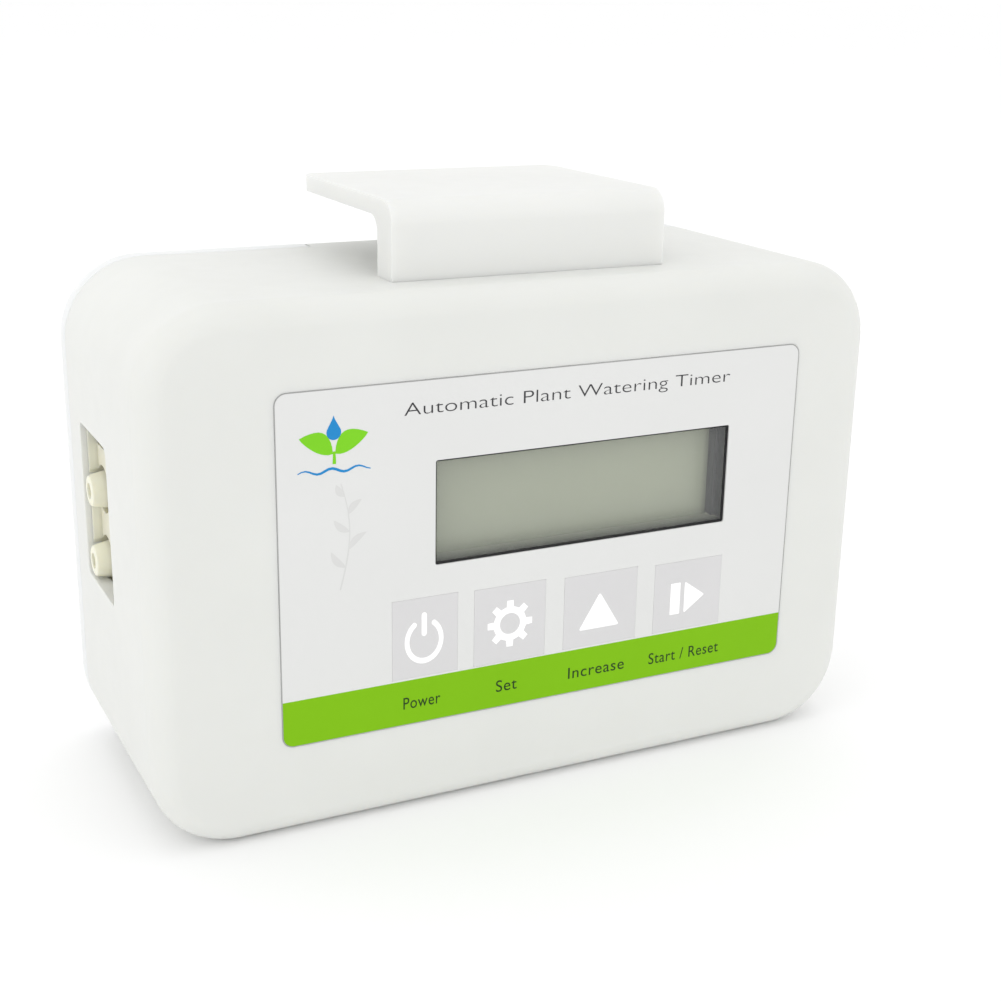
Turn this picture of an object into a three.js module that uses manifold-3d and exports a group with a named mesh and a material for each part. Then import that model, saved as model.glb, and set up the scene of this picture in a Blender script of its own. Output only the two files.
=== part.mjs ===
// A drip irrigation timer: a hand-sized plastic case with a printed keypad film, a blank segment display,
// a bracket that hangs it on an edge, and inside it a rechargeable cell and a small diaphragm pump whose
// two hose barbs face an opening in the left wall.
// Millimetres. +X is the right-hand side seen from the front, +Y the back and +Z up; the origin is the
// middle of the bottom face. Each piece is one closed solid in its own mesh.

import * as THREE from "three";
import { mergeVertices } from "three/addons/utils/BufferGeometryUtils.js";
import Module from "manifold-3d";

const wasm = await Module();
wasm.setup();

// ---------------------------------------------------------------- driving dimensions

const CASE = { width: 105, depth: 42, height: 70, corner: 11, wall: 2, frontFillet: 3.2, rearFillet: 1.4 };
const HALF_WIDTH = CASE.width / 2;
const FRONT = -CASE.depth / 2;
const BACK = CASE.depth / 2;
const TOP = CASE.height;
const MIDDLE = TOP / 2;

const SEAM = { y: BACK - 4, gap: 0.25, lip: 2.5, lipInset: 2.3, lipWall: 1.5 };

const LABEL = {
  left: -36,
  right: 40.4,
  low: 12.5,
  high: 59.1,
  corner: 1.6,
  recess: 0.3,
  film: 0.25,
  gap: 0.15,
};
const WINDOW = { left: -14.6, right: 29.2, low: 34.65, high: 48.24, reveal: 0.25 };
const KEYS = [
  { name: "power", left: -20.8, right: -11.7, low: 19.3, high: 30.1 },
  { name: "set", left: -9.1, right: 1.3, low: 19.2, high: 29.9 },
  { name: "adjust", left: 4.4, right: 15.6, low: 19.3, high: 29.6 },
  { name: "start", left: 18.7, right: 29.5, low: 19.3, high: 29.3 },
];
const KEY_TRAVEL = 0.25;

const HOOK = { left: -17.7, right: 21.9, front: -13.6, plate: 4.8, flange: 2.3, top: 80, rear: 20.9 };
const PORT = { front: -3.7, back: 11.15, low: 28.2, high: 49.5 };

const BOARD = { front: -13.6, thick: 1.6, left: -40, right: 49.6, low: 13.6, high: 56.4 };
const BOARD_BACK = BOARD.front + BOARD.thick;
const CASE_SCREW = { x: 43, low: 9.5, high: 60.5, post: 3.7, shank: 1.2, pilot: 1.3, head: 2.4 };
const BOARD_SCREW = { z: 53.4, left: -34, right: 39.6, post: 2.6, shank: 0.9, pilot: 1 };

const CELL = { y: 8, z: 12.1, radius: 9.2, left: -30, right: 34.2 };
const PUMP = { y: 5.2, z: 36.2, radius: 13.4, face: -44 };
const MANIFOLD = { face: -50.2, front: 3.2, back: 13.9, low: 24.6, high: 46.4 };
const BARB = {
  y: 8.2,
  z: 35.65,
  gap: 9.9,
  tip: -HALF_WIDTH + 0.15,
  tipRadius: 2.15,
  rootRadius: 2.85,
  taper: 3.85,
  bore: 1.1,
  pocket: 3.3,
  pocketFloor: -47.4,
};
const MOTOR = { left: -24, right: 7, radius: 12.2, wall: 1, shaft: 1 };
const TILT = THREE.MathUtils.degToRad(7);
const PIVOT = new THREE.Vector3(-32.2, PUMP.y, PUMP.z);

const ROUND = 20;
const CORNER_STEPS = 7;
const FIT = 0.3;

// ---------------------------------------------------------------- solids and booleans

// A three.js geometry as a manifold solid: only positions are kept, and triangles with no area dropped.
function solid(geometry) {
  const bare = geometry.index ? geometry.toNonIndexed() : geometry.clone();
  bare.deleteAttribute("normal");
  bare.deleteAttribute("uv");
  const merged = mergeVertices(bare, 1e-4);
  const index = merged.index.array;
  const kept = [];
  for (let i = 0; i < index.length; i += 3) {
    const [a, b, c] = [index[i], index[i + 1], index[i + 2]];
    if (a !== b && b !== c && c !== a) kept.push(a, b, c);
  }
  const vertProperties = merged.attributes.position.array;
  return new wasm.Manifold(new wasm.Mesh({ numProp: 3, vertProperties, triVerts: new Uint32Array(kept) }));
}

function geometryOf(body) {
  const mesh = body.getMesh();
  const geometry = new THREE.BufferGeometry();
  geometry.setAttribute("position", new THREE.BufferAttribute(new Float32Array(mesh.vertProperties), 3));
  geometry.setIndex(new THREE.BufferAttribute(new Uint32Array(mesh.triVerts), 1));
  return geometry;
}

const join = (...bodies) => bodies.reduce((all, next) => all.add(next));
const cut = (body, ...tools) => tools.reduce((left, tool) => left.subtract(tool), body);

// The box between two opposite corners.
function box([x0, y0, z0], [x1, y1, z1]) {
  const block = new THREE.BoxGeometry(x1 - x0, y1 - y0, z1 - z0);
  return solid(block.translate((x0 + x1) / 2, (y0 + y1) / 2, (z0 + z1) / 2));
}

// Turns a geometry whose own axis is +Y so that the axis points along a row axis.
function alongAxis(geometry, axis) {
  if (axis === "x") geometry.rotateZ(-Math.PI / 2);
  if (axis === "z") geometry.rotateX(Math.PI / 2);
  return geometry;
}

// A round bar along an axis, from one coordinate to another, through the point `at`.
function rod(axis, radius, from, to, at, steps = ROUND) {
  const bar = alongAxis(new THREE.CylinderGeometry(radius, radius, to - from, steps), axis);
  const middle = new THREE.Vector3(...at);
  middle[axis] = (from + to) / 2;
  return solid(bar.translate(middle.x, middle.y, middle.z));
}

// A body turned about a line along +X through (y, z). The profile is a list of [x, radius], from the axis
// and back to it, or closed on itself round a bore.
function turnedX(profile, y, z, steps = ROUND) {
  const points = profile.map(([x, radius]) => new THREE.Vector2(radius, x));
  const turned = new THREE.LatheGeometry(points, steps).rotateZ(-Math.PI / 2);
  const body = solid(turned.translate(0, y, z));
  return body.volume() < 0 ? solid(flipped(turned)) : body;
}

function flipped(geometry) {
  const reversed = geometry.clone();
  const index = reversed.index.array;
  for (let i = 0; i < index.length; i += 3) {
    [index[i + 1], index[i + 2]] = [index[i + 2], index[i + 1]];
  }
  return reversed;
}

// A rounded rectangle as a closed outline of [x, z] points round (cx, cz).
function roundedOutline(width, height, corner, cx, cz, steps = CORNER_STEPS) {
  const points = [];
  const centres = [
    [1, 1],
    [-1, 1],
    [-1, -1],
    [1, -1],
  ];
  centres.forEach(([sx, sz], quarter) => {
    for (let i = 0; i <= steps; i++) {
      const angle = ((quarter + i / steps) * Math.PI) / 2;
      const x = cx + sx * (width / 2 - corner) + corner * Math.cos(angle);
      const z = cz + sz * (height / 2 - corner) + corner * Math.sin(angle);
      points.push([x, z]);
    }
  });
  return points;
}

// A closed solid through convex outlines of the same number of points, one at each y.
function loft(sections) {
  const count = sections[0].outline.length;
  const positions = sections.flatMap(({ y, outline }) => outline.flatMap(([x, z]) => [x, y, z]));
  const triangles = [];
  for (let s = 0; s + 1 < sections.length; s++) {
    for (let i = 0; i < count; i++) {
      const [a, b] = [s * count + i, s * count + ((i + 1) % count)];
      const [c, d] = [a + count, b + count];
      triangles.push(a, c, b, b, c, d);
    }
  }
  const last = (sections.length - 1) * count;
  for (let i = 1; i + 1 < count; i++) {
    triangles.push(0, i, i + 1);
    triangles.push(last, last + i + 1, last + i);
  }
  const geometry = new THREE.BufferGeometry();
  geometry.setAttribute("position", new THREE.Float32BufferAttribute(positions, 3));
  geometry.setIndex(triangles);
  const body = solid(geometry);
  return body.volume() < 0 ? solid(flipped(geometry)) : body;
}

// A slab with a rounded-rectangle outline between two y values.
function slabY(left, right, low, high, corner, front, back, steps) {
  const args = [right - left, high - low, corner, (left + right) / 2, (low + high) / 2, steps];
  const outline = roundedOutline(...args);
  return loft([
    { y: front, outline },
    { y: back, outline },
  ]);
}

// The case's outer form, or a form inset from it, between two y values, with a quarter-round fillet at
// either end.
function caseForm(inset, front, back, frontFillet = 0, rearFillet = 0, filletSteps = 4) {
  const outline = (extra) => {
    const total = inset + extra;
    return roundedOutline(CASE.width - 2 * total, CASE.height - 2 * total, CASE.corner - total, 0, MIDDLE);
  };
  const sections = [];
  for (let i = 0; i < filletSteps && frontFillet > 0; i++) {
    const angle = ((i / filletSteps) * Math.PI) / 2;
    const y = front + frontFillet * (1 - Math.sin(angle));
    sections.unshift({ y, outline: outline(frontFillet * (1 - Math.cos(angle))) });
  }
  if (frontFillet > 0) sections.unshift({ y: front, outline: outline(frontFillet) });
  else sections.push({ y: front, outline: outline(0) });
  if (rearFillet > 0) {
    for (let i = 0; i <= filletSteps; i++) {
      const angle = ((i / filletSteps) * Math.PI) / 2;
      const y = back - rearFillet * (1 - Math.sin(angle));
      sections.push({ y, outline: outline(rearFillet * (1 - Math.cos(angle))) });
    }
  } else {
    sections.push({ y: back, outline: outline(0) });
  }
  return loft(sections);
}

// An outline of [a, b] points extruded along an axis: y and z for "x", x and z for "y", x and y for "z".
function prism(points, axis, from, to) {
  const shape = new THREE.Shape(points.map(([a, b]) => new THREE.Vector2(a, b)));
  const extruded = new THREE.ExtrudeGeometry(shape, { depth: to - from, bevelEnabled: false });
  const [X, Y, Z] = [
    new THREE.Vector3(1, 0, 0),
    new THREE.Vector3(0, 1, 0),
    new THREE.Vector3(0, 0, 1),
  ];
  if (axis === "x") extruded.applyMatrix4(new THREE.Matrix4().makeBasis(Y, Z, X)).translate(from, 0, 0);
  if (axis === "y") extruded.rotateX(Math.PI / 2).translate(0, to, 0);
  if (axis === "z") extruded.translate(0, 0, from);
  return solid(extruded);
}

// A quarter arc from one angle to another, in degrees, as [a, b] points.
function arc([a, b], radius, fromDegrees, toDegrees, steps = 5) {
  return Array.from({ length: steps + 1 }, (_, i) => {
    const angle = THREE.MathUtils.degToRad(fromDegrees + ((toDegrees - fromDegrees) * i) / steps);
    return [a + radius * Math.cos(angle), b + radius * Math.sin(angle)];
  });
}

// A round lead along a smooth curve through points.
function lead(points, radius, steps = 22) {
  const corners = points.map((point) => new THREE.Vector3(...point));
  const path = new THREE.CatmullRomCurve3(corners, false, "catmullrom", 0.5);
  const section = new THREE.Shape();
  section.absarc(0, 0, radius, 0, Math.PI * 2);
  const options = { steps, extrudePath: path, curveSegments: 4, bevelEnabled: false };
  return solid(new THREE.ExtrudeGeometry(section, options));
}

// ---------------------------------------------------------------- materials and the scene graph

const COLOURS = {
  shell: [0xf2f2ef, 0.42, 0],
  cover: [0xf4f4f3, 0.45, 0],
  hook: [0xf0f1ec, 0.38, 0],
  film: [0xf3f4f4, 0.35, 0],
  pane: [0xdfe4e0, 0.08, 0],
  display: [0xa0a594, 0.3, 0],
  bezel: [0x151517, 0.5, 0],
  key: [0xdcdddd, 0.4, 0],
  silicone: [0xb9bcbb, 0.7, 0],
  board: [0x1f6b3a, 0.5, 0],
  black: [0x1b1b1d, 0.5, 0],
  steel: [0xb4b6b8, 0.32, 1],
  cream: [0xece6cf, 0.45, 0],
  rubber: [0x2a2a2b, 0.8, 0],
  magnet: [0x3a3a3e, 0.6, 0.4],
  copper: [0xb36a35, 0.35, 1],
  wrap: [0x2f6db5, 0.4, 0],
  red: [0xc0231f, 0.5, 0],
};

const timer = new THREE.Group();

function add(name, body, colour, parent = timer) {
  const [color, roughness, metalness] = COLOURS[colour];
  const material = new THREE.MeshStandardMaterial({ color, roughness, metalness });
  const mesh = new THREE.Mesh(geometryOf(body), material);
  mesh.name = name;
  parent.add(mesh);
  return mesh;
}

// ---------------------------------------------------------------- case

const screwSpots = [
  [-CASE_SCREW.x, CASE_SCREW.low],
  [-CASE_SCREW.x, CASE_SCREW.high],
  [CASE_SCREW.x, CASE_SCREW.low],
  [CASE_SCREW.x, CASE_SCREW.high],
];
const boardSpots = [BOARD_SCREW.left, BOARD_SCREW.right].map((x) => [x, BOARD_SCREW.z]);
const boardPegs = [BOARD_SCREW.left, BOARD_SCREW.right].map((x) => [x, BOARD.low + 4]);

const TONGUE = { back: BACK - 1.6, gap: 0.9, side: 0.35 };
const USB = {
  front: BOARD_BACK + 0.1,
  thick: 3.2,
  low: 31,
  high: 39.9,
  inner: 44.8,
  mouth: HALF_WIDTH - 0.3,
  clearance: 0.4,
};
const TENON = { left: -15, right: 19.2, front: -13.1, back: -9.1, low: 64 };
const KEY_CLEARANCE = { well: 0.15, film: 0.12 };
const FRONT_INSIDE = FRONT + CASE.wall;

// A box as large as a key and some more all round, between two y values.
function keyBox({ left, right, low, high }, grow, front, back) {
  return box([left - grow, front, low - grow], [right + grow, back, high + grow]);
}

function frontCase() {
  const innerFillet = CASE.frontFillet - CASE.wall;
  const shell = cut(
    caseForm(0, FRONT, SEAM.y, CASE.frontFillet),
    caseForm(CASE.wall, FRONT_INSIDE, SEAM.y + 1, innerFillet),
  );
  const root = FRONT_INSIDE - 0.5;
  const posts = screwSpots.map(([x, z]) => rod("y", CASE_SCREW.post, root, SEAM.y - 0.3, [x, 0, z]));
  const boardPosts = [...boardSpots, ...boardPegs].map(([x, z]) =>
    rod("y", BOARD_SCREW.post, root, BOARD.front - 0.05, [x, 0, z], 12),
  );
  const pegs = boardPegs.map(([x, z]) => rod("y", 1, BOARD.front - 1, BOARD_BACK + 0.6, [x, 0, z], 12));
  const tongue = box(
    [HOOK.left + TONGUE.side, SEAM.y - 1, TOP - CASE.wall],
    [HOOK.right - TONGUE.side, TONGUE.back, TOP],
  );
  const filmSeat = slabY(
    LABEL.left,
    LABEL.right,
    LABEL.low,
    LABEL.high,
    LABEL.corner,
    FRONT - 1,
    FRONT + LABEL.recess,
    4,
  );
  const bezelHole = box(
    [WINDOW.left - 1, FRONT - 1, WINDOW.low - 1],
    [WINDOW.right + 1, FRONT_INSIDE + 1, WINDOW.high + 1],
  );
  const wells = KEYS.map((key) => keyBox(key, KEY_CLEARANCE.well, FRONT - 1, FRONT_INSIDE + 1));
  const portHole = box(
    [-HALF_WIDTH - 1, PORT.front, PORT.low],
    [-HALF_WIDTH + CASE.wall + 1, PORT.back, PORT.high],
  );
  const usbHole = box(
    [HALF_WIDTH - CASE.wall - 1, USB.front - USB.clearance, USB.low - USB.clearance],
    [HALF_WIDTH + 1, USB.front + USB.thick + USB.clearance, USB.high + USB.clearance],
  );
  const hookSlot = box(
    [TENON.left - 0.2, TENON.front - 0.2, TOP - CASE.wall - 1],
    [TENON.right + 0.2, TENON.back + 0.2, TOP + 1],
  );
  const pilots = screwSpots.map(([x, z]) => rod("y", CASE_SCREW.pilot, 2, SEAM.y + 1, [x, 0, z], 12));
  const boardPilots = boardSpots.map(([x, z]) => rod("y", BOARD_SCREW.pilot, FRONT + 3, 0, [x, 0, z], 10));
  const solidPart = join(shell, ...posts, ...boardPosts, ...pegs, tongue);
  return cut(
    solidPart,
    filmSeat,
    bezelHole,
    ...wells,
    portHole,
    usbHole,
    hookSlot,
    ...pilots,
    ...boardPilots,
  );
}

// A rib across the inside of the cover, with a round seat for whatever lies along X at (y, z).
function cradle(x, y, z, radius, low, high) {
  const rib = box([x - 0.8, y + 2, low], [x + 0.8, BACK - CASE.wall + 0.5, high]);
  return cut(rib, rod("x", radius + FIT, x - 2, x + 2, [0, y, z], 24));
}

function rearCover() {
  const shell = caseForm(0, SEAM.y + SEAM.gap, BACK, 0, CASE.rearFillet);
  const pocket = caseForm(SEAM.lipInset + SEAM.lipWall, SEAM.y - 5, BACK - CASE.wall);
  const lip = cut(
    caseForm(SEAM.lipInset, SEAM.y - SEAM.lip, BACK - 1),
    caseForm(SEAM.lipInset + SEAM.lipWall, SEAM.y - SEAM.lip - 1, BACK),
  );
  const sleeves = screwSpots.map(([x, z]) => rod("y", CASE_SCREW.post, SEAM.y, BACK - 1, [x, 0, z]));
  const cellRibs = [-22, 2, 26].map((x) => cradle(x, CELL.y, CELL.z, CELL.radius, 4.2, 20.6));
  const motorRibs = [-18, 1].map((x) => cradle(x, PUMP.y, PUMP.z, MOTOR.radius, PUMP.z - 11, PUMP.z + 11));
  const notch = box(
    [HOOK.left, SEAM.y - 1, TOP - CASE.wall - 0.3],
    [HOOK.right, TONGUE.back + TONGUE.gap, TOP + 1],
  );
  const bores = screwSpots.map(([x, z]) => rod("y", CASE_SCREW.shank + 0.3, 0, BACK + 1, [x, 0, z], 12));
  const sinkRadius = CASE_SCREW.head + 0.4;
  const sinks = screwSpots.map(([x, z]) => rod("y", sinkRadius, BACK - 2.4, BACK + 1, [x, 0, z]));
  const plate = join(cut(shell, pocket), lip, ...sleeves, ...cellRibs, ...motorRibs);
  return cut(plate, notch, ...bores, ...sinks);
}

function hangingHook() {
  const { front, plate, flange, top, rear } = HOOK;
  const outer = { radius: 3, at: [front + 3, top - 3] };
  const inner = { radius: 2.2, at: [front + plate + 2.2, top - flange - 2.2] };
  const profile = [
    [front, TOP],
    [front + plate, TOP],
    ...arc(inner.at, inner.radius, 180, 90),
    ...arc([rear - 1.1, top - flange / 2 - 0.05], 1.1, -90, 90, 4),
    ...arc(outer.at, outer.radius, 90, 180),
  ];
  const body = prism(profile, "x", HOOK.left, HOOK.right);
  const corner = 4;
  const plan = [
    [HOOK.left, front - 1],
    [HOOK.right, front - 1],
    ...arc([HOOK.right - corner, rear - corner], corner, 0, 90, 4),
    ...arc([HOOK.left + corner, rear - corner], corner, 90, 180, 4),
  ];
  const trimmed = body.intersect(prism(plan, "z", TOP - 1, top + 1));
  const tenon = box([TENON.left, TENON.front, TENON.low], [TENON.right, TENON.back, TOP + 0.5]);
  const snap = [
    [TENON.back - 0.5, TENON.low],
    [TENON.back, TENON.low],
    [TENON.back + 1, TOP - CASE.wall - 0.3],
    [TENON.back - 0.5, TOP - CASE.wall - 0.3],
  ];
  const snaps = [-9, 9].map((x) => prism(snap, "x", x + 2.1 - 3, x + 2.1 + 3));
  return join(trimmed, tenon, ...snaps);
}

function overlayFilm() {
  const { left, right, low, high, corner, film, gap } = LABEL;
  const sheet = slabY(left + gap, right - gap, low + gap, high - gap, corner - gap, FRONT, FRONT + film, 4);
  const opening = box(
    [WINDOW.left - WINDOW.reveal, FRONT - 1, WINDOW.low - WINDOW.reveal],
    [WINDOW.right + WINDOW.reveal, FRONT + 1, WINDOW.high + WINDOW.reveal],
  );
  const zones = KEYS.map((key) => keyBox(key, KEY_CLEARANCE.film, FRONT - 1, FRONT + 1));
  return cut(sheet, opening, ...zones);
}

add("front_case", frontCase(), "shell");
add("rear_cover", rearCover(), "cover");
add("hanging_hook", hangingHook(), "hook");
add("overlay_film", overlayFilm(), "film");

screwSpots.forEach(([x, z], i) => {
  const head = rod("y", CASE_SCREW.head, BACK - 2.35, BACK - 0.75, [x, 0, z], 16);
  const shank = rod("y", CASE_SCREW.shank, BACK - 13, BACK - 1.5, [x, 0, z], 10);
  const cross = [
    box([x - 1.3, BACK - 1.5, z - 0.25], [x + 1.3, BACK, z + 0.25]),
    box([x - 0.25, BACK - 1.5, z - 1.3], [x + 0.25, BACK, z + 1.3]),
  ];
  add("case_screw_" + (i + 1), cut(join(head, shank), ...cross), "steel");
});

// ---------------------------------------------------------------- display and its bezel

const GLASS = { left: -17, right: 31.6, low: 32, high: 51.4, front: -17.2, back: -14.9 };

function displayBezel() {
  const sleeve = box(
    [WINDOW.left - 0.8, FRONT + LABEL.recess, WINDOW.low - 0.8],
    [WINDOW.right + 0.8, GLASS.front - 0.05, WINDOW.high + 0.8],
  );
  const skirt = box(
    [GLASS.left - 0.9, FRONT_INSIDE + 0.1, GLASS.low - 0.9],
    [GLASS.right + 0.9, BOARD.front - 0.1, GLASS.high + 0.9],
  );
  const bed = box(
    [GLASS.left - 0.15, GLASS.front - 0.05, GLASS.low - 0.15],
    [GLASS.right + 0.15, BOARD.front + 1, GLASS.high + 0.15],
  );
  const sight = box([WINDOW.left, FRONT - 1, WINDOW.low], [WINDOW.right, BOARD.front + 1, WINDOW.high]);
  return cut(join(sleeve, skirt), bed, sight);
}

add("lcd_frame", displayBezel(), "bezel");
const glassLow = [GLASS.left, GLASS.front, GLASS.low];
add("lcd_glass", box(glassLow, [GLASS.right, GLASS.back, GLASS.high]), "display");
const stripLow = [GLASS.left + 2, GLASS.back + 0.05, GLASS.low + 0.4];
add("lcd_contact_strip", box(stripLow, [GLASS.right - 2, BOARD.front - 0.05, GLASS.low + 2.4]), "silicone");

const PANE = { inset: 0.1, front: FRONT + LABEL.recess + 0.1, thick: 0.8 };
const paneLow = [WINDOW.left + PANE.inset, PANE.front, WINDOW.low + PANE.inset];
const paneHigh = [WINDOW.right - PANE.inset, PANE.front + PANE.thick, WINDOW.high - PANE.inset];
add("display_window", box(paneLow, paneHigh), "pane");

// ---------------------------------------------------------------- keys

const SWITCH = { half: 3, body: 3.4, stem: 1.7, tip: -18.25, well: 1.5 };
const PLUNGER = { slack: 0.05, flange: 0.7, shoulder: FRONT_INSIDE + 0.08, back: -18.3 };

KEYS.forEach((key) => {
  const { name } = key;
  const [x, z] = [(key.left + key.right) / 2, (key.low + key.high) / 2];
  add(name + "_key", keyBox(key, 0, FRONT, FRONT + LABEL.film), "key");

  const head = keyBox(key, -PLUNGER.slack, FRONT + LABEL.recess, PLUNGER.back);
  const flange = keyBox(key, PLUNGER.flange, PLUNGER.shoulder, PLUNGER.back);
  add(name + "_plunger", join(head, flange), "silicone");

  const base = box(
    [x - SWITCH.half, BOARD.front - SWITCH.body, z - SWITCH.half],
    [x + SWITCH.half, BOARD.front - 0.02, z + SWITCH.half],
  );
  const wellEnd = BOARD.front - SWITCH.well;
  const well = rod("y", SWITCH.stem + 0.1, BOARD.front - SWITCH.body - 1, wellEnd, [x, 0, z], 12);
  const stemEnd = wellEnd - KEY_TRAVEL - 0.3;
  add(name + "_switch", cut(base, well), "black");
  add(name + "_stem", rod("y", SWITCH.stem, SWITCH.tip, stemEnd, [x, 0, z], 12), "cream");
});

// ---------------------------------------------------------------- main board

function mainBoard() {
  const sheet = box([BOARD.left, BOARD.front, BOARD.low], [BOARD.right, BOARD_BACK, BOARD.high]);
  const holes = [...boardSpots, ...boardPegs].map(([x, z]) =>
    rod("y", 1.2, BOARD.front - 1, BOARD_BACK + 1, [x, 0, z], 12),
  );
  return cut(sheet, ...holes);
}

function usbSocket() {
  const { front, thick, low, high, inner, mouth } = USB;
  const can = box([inner, front, low], [mouth, front + thick, high]);
  const hollow = box([inner + 1, front + 0.35, low + 0.35], [mouth + 1, front + thick - 0.35, high - 0.35]);
  const tongueLow = [inner + 0.5, front + thick / 2 - 0.35, low + 1.2];
  return join(cut(can, hollow), box(tongueLow, [mouth - 0.8, front + thick / 2 + 0.35, high - 1.2]));
}

// A two-pin connector on the back of the board, its mouth facing up.
function connector(x, z) {
  const shroud = box([x - 3.2, BOARD_BACK + 0.02, z - 2.6], [x + 3.2, BOARD_BACK + 4.2, z + 2.6]);
  const mouth = box([x - 2.5, BOARD_BACK + 0.8, z - 1.6], [x + 2.5, BOARD_BACK + 3.5, z + 3]);
  return cut(shroud, mouth);
}

const CELL_PLUG = [38, 27];
const MOTOR_PLUG = [22, 54];
add("main_board", mainBoard(), "board");
add("microcontroller", box([14, BOARD_BACK + 0.02, 22], [21, BOARD_BACK + 1.5, 29]), "black");
add("usb_socket", usbSocket(), "steel");
add("battery_connector", connector(...CELL_PLUG), "cream");
add("motor_connector", connector(...MOTOR_PLUG), "cream");

boardSpots.forEach(([x, z], i) => {
  const head = rod("y", 2, BOARD_BACK + 0.02, BOARD_BACK + 1.5, [x, 0, z], 14);
  const shank = rod("y", BOARD_SCREW.shank, FRONT + 3.5, BOARD_BACK + 0.5, [x, 0, z], 8);
  const slot = box([x - 3, BOARD_BACK + 0.9, z - 0.25], [x + 3, BOARD_BACK + 2, z + 0.25]);
  add("board_screw_" + (i + 1), cut(join(head, shank), slot), "steel");
});

// ---------------------------------------------------------------- rechargeable cell

const cellAt = [0, CELL.y, CELL.z];
add("battery_cell", rod("x", CELL.radius, CELL.left, CELL.right, cellAt, 24), "wrap");
const cap = join(
  rod("x", 4.2, CELL.right + 0.02, CELL.right + 0.9, cellAt, 16),
  rod("x", 2.9, CELL.right + 0.5, CELL.right + 1.5, cellAt, 16),
);
add("battery_cap", cap, "steel");

const leadRadius = 0.65;
add(
  "battery_lead_red",
  lead(
    [
      [CELL.right + 2.3, CELL.y, CELL.z],
      [CELL.right + 4, CELL.y - 2, CELL.z + 3],
      [CELL.right + 5.2, CELL.y - 8, CELL.z + 12],
      [CELL_PLUG[0] + 1.2, BOARD_BACK + 3, CELL_PLUG[1] + 8.5],
      [CELL_PLUG[0] + 1.2, BOARD_BACK + 2.15, CELL_PLUG[1] + 4],
      [CELL_PLUG[0] + 1.2, BOARD_BACK + 2.15, CELL_PLUG[1] - 1],
    ],
    leadRadius,
  ),
  "red",
);
add(
  "battery_lead_black",
  lead(
    [
      [CELL.left - 0.8, CELL.y, CELL.z],
      [CELL.left - 2.5, CELL.y - 4, CELL.z + 1],
      [CELL.left - 0.5, CELL.y - 10.6, CELL.z + 3],
      [CELL.left + 12, CELL.y - 12.6, CELL.z + 6],
      [0, CELL.y - 13, CELL.z + 7],
      [26, CELL.y - 13, CELL.z + 9],
      [CELL_PLUG[0] - 4.4, BOARD_BACK + 6.2, CELL_PLUG[1] - 1],
      [CELL_PLUG[0] - 3.6, BOARD_BACK + 5, CELL_PLUG[1] + 5.6],
      [CELL_PLUG[0] - 1.2, BOARD_BACK + 2.3, CELL_PLUG[1] + 5.6],
      [CELL_PLUG[0] - 1.2, BOARD_BACK + 2.15, CELL_PLUG[1] - 1],
    ],
    leadRadius,
    40,
  ),
  "black",
);

// ---------------------------------------------------------------- motor, all along one line in X

const motorAt = [0, PUMP.y, PUMP.z];

function motorCan() {
  const outer = rod("x", MOTOR.radius, MOTOR.left, MOTOR.right, motorAt, 28);
  const hollow = rod("x", MOTOR.radius - MOTOR.wall, MOTOR.left + 1.2, MOTOR.right + 1, motorAt, 28);
  const hole = rod("x", 1.6, MOTOR.left - 1, MOTOR.left + 3, motorAt, 12);
  return cut(outer, hollow, hole);
}

// A magnet arc lining the can, above or below the shaft.
function magnet(from, to) {
  const outer = arc([PUMP.y, PUMP.z], MOTOR.radius - MOTOR.wall - FIT, from, to, 8);
  const inner = arc([PUMP.y, PUMP.z], 9.2, to, from, 8);
  return prism([...outer, ...inner], "x", MOTOR.left + 3, MOTOR.right - 4);
}

// The three-pole lamination stack, bored for the shaft. `grow` makes a slightly fatter copy to cut with.
function lamination(from, to, grow = 0) {
  const arms = [0, 1, 2].map((n) => {
    const neck = box([from, -1.5 - grow, 0], [to, 1.5 + grow, 7.4]);
    const shoe = arc([0, 0], 8.6 + grow, 42, 138, 6);
    const under = arc([0, 0], 7 - grow, 138, 42, 6);
    const arm = join(neck, prism([...shoe, ...under], "x", from, to));
    return arm.rotate([120 * n, 0, 0]);
  });
  const core = join(rod("x", 3.2 + grow, from, to, [0, 0, 0], 12), ...arms);
  return core.translate([0, PUMP.y, PUMP.z]);
}

const CORE = { left: MOTOR.left + 5.5, right: MOTOR.right - 7 };

function winding() {
  const bulk = rod("x", 6.6, CORE.left - 1.8, CORE.right + 1.8, motorAt, 18);
  const core = lamination(CORE.left - 0.2, CORE.right + 0.2, 0.25);
  return cut(bulk, core, rod("x", 1.6, -60, 60, motorAt, 12));
}

const shaftBore = rod("x", MOTOR.shaft + 0.08, -60, 60, motorAt, 12);
const COMMUTATOR = { left: CORE.right + 2.3, right: MOTOR.right - 0.6, radius: 2.6 };
const END_CAP = { right: MOTOR.right + 2 };

add("motor_can", motorCan(), "steel");
add("magnet_upper", magnet(28, 152), "magnet");
add("magnet_lower", magnet(208, 332), "magnet");

const bearing = cut(
  join(
    rod("x", MOTOR.radius, MOTOR.right + 0.1, END_CAP.right, motorAt, 28),
    rod("x", MOTOR.radius - MOTOR.wall - 0.3, MOTOR.right - 0.4, END_CAP.right - 0.5, motorAt, 28),
    rod("x", 3.2, END_CAP.right - 0.5, END_CAP.right + 1.6, motorAt, 16),
    box([END_CAP.right - 0.5, PUMP.y - 7, PUMP.z + 3.6], [END_CAP.right + 2.4, PUMP.y - 6.4, PUMP.z + 6.4]),
    box([END_CAP.right - 0.5, PUMP.y + 6.4, PUMP.z + 3.6], [END_CAP.right + 2.4, PUMP.y + 7, PUMP.z + 6.4]),
  ),
  rod("x", MOTOR.shaft + 0.08, -60, END_CAP.right + 1, motorAt, 12),
);
add("motor_end_cap", bearing, "black");

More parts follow.
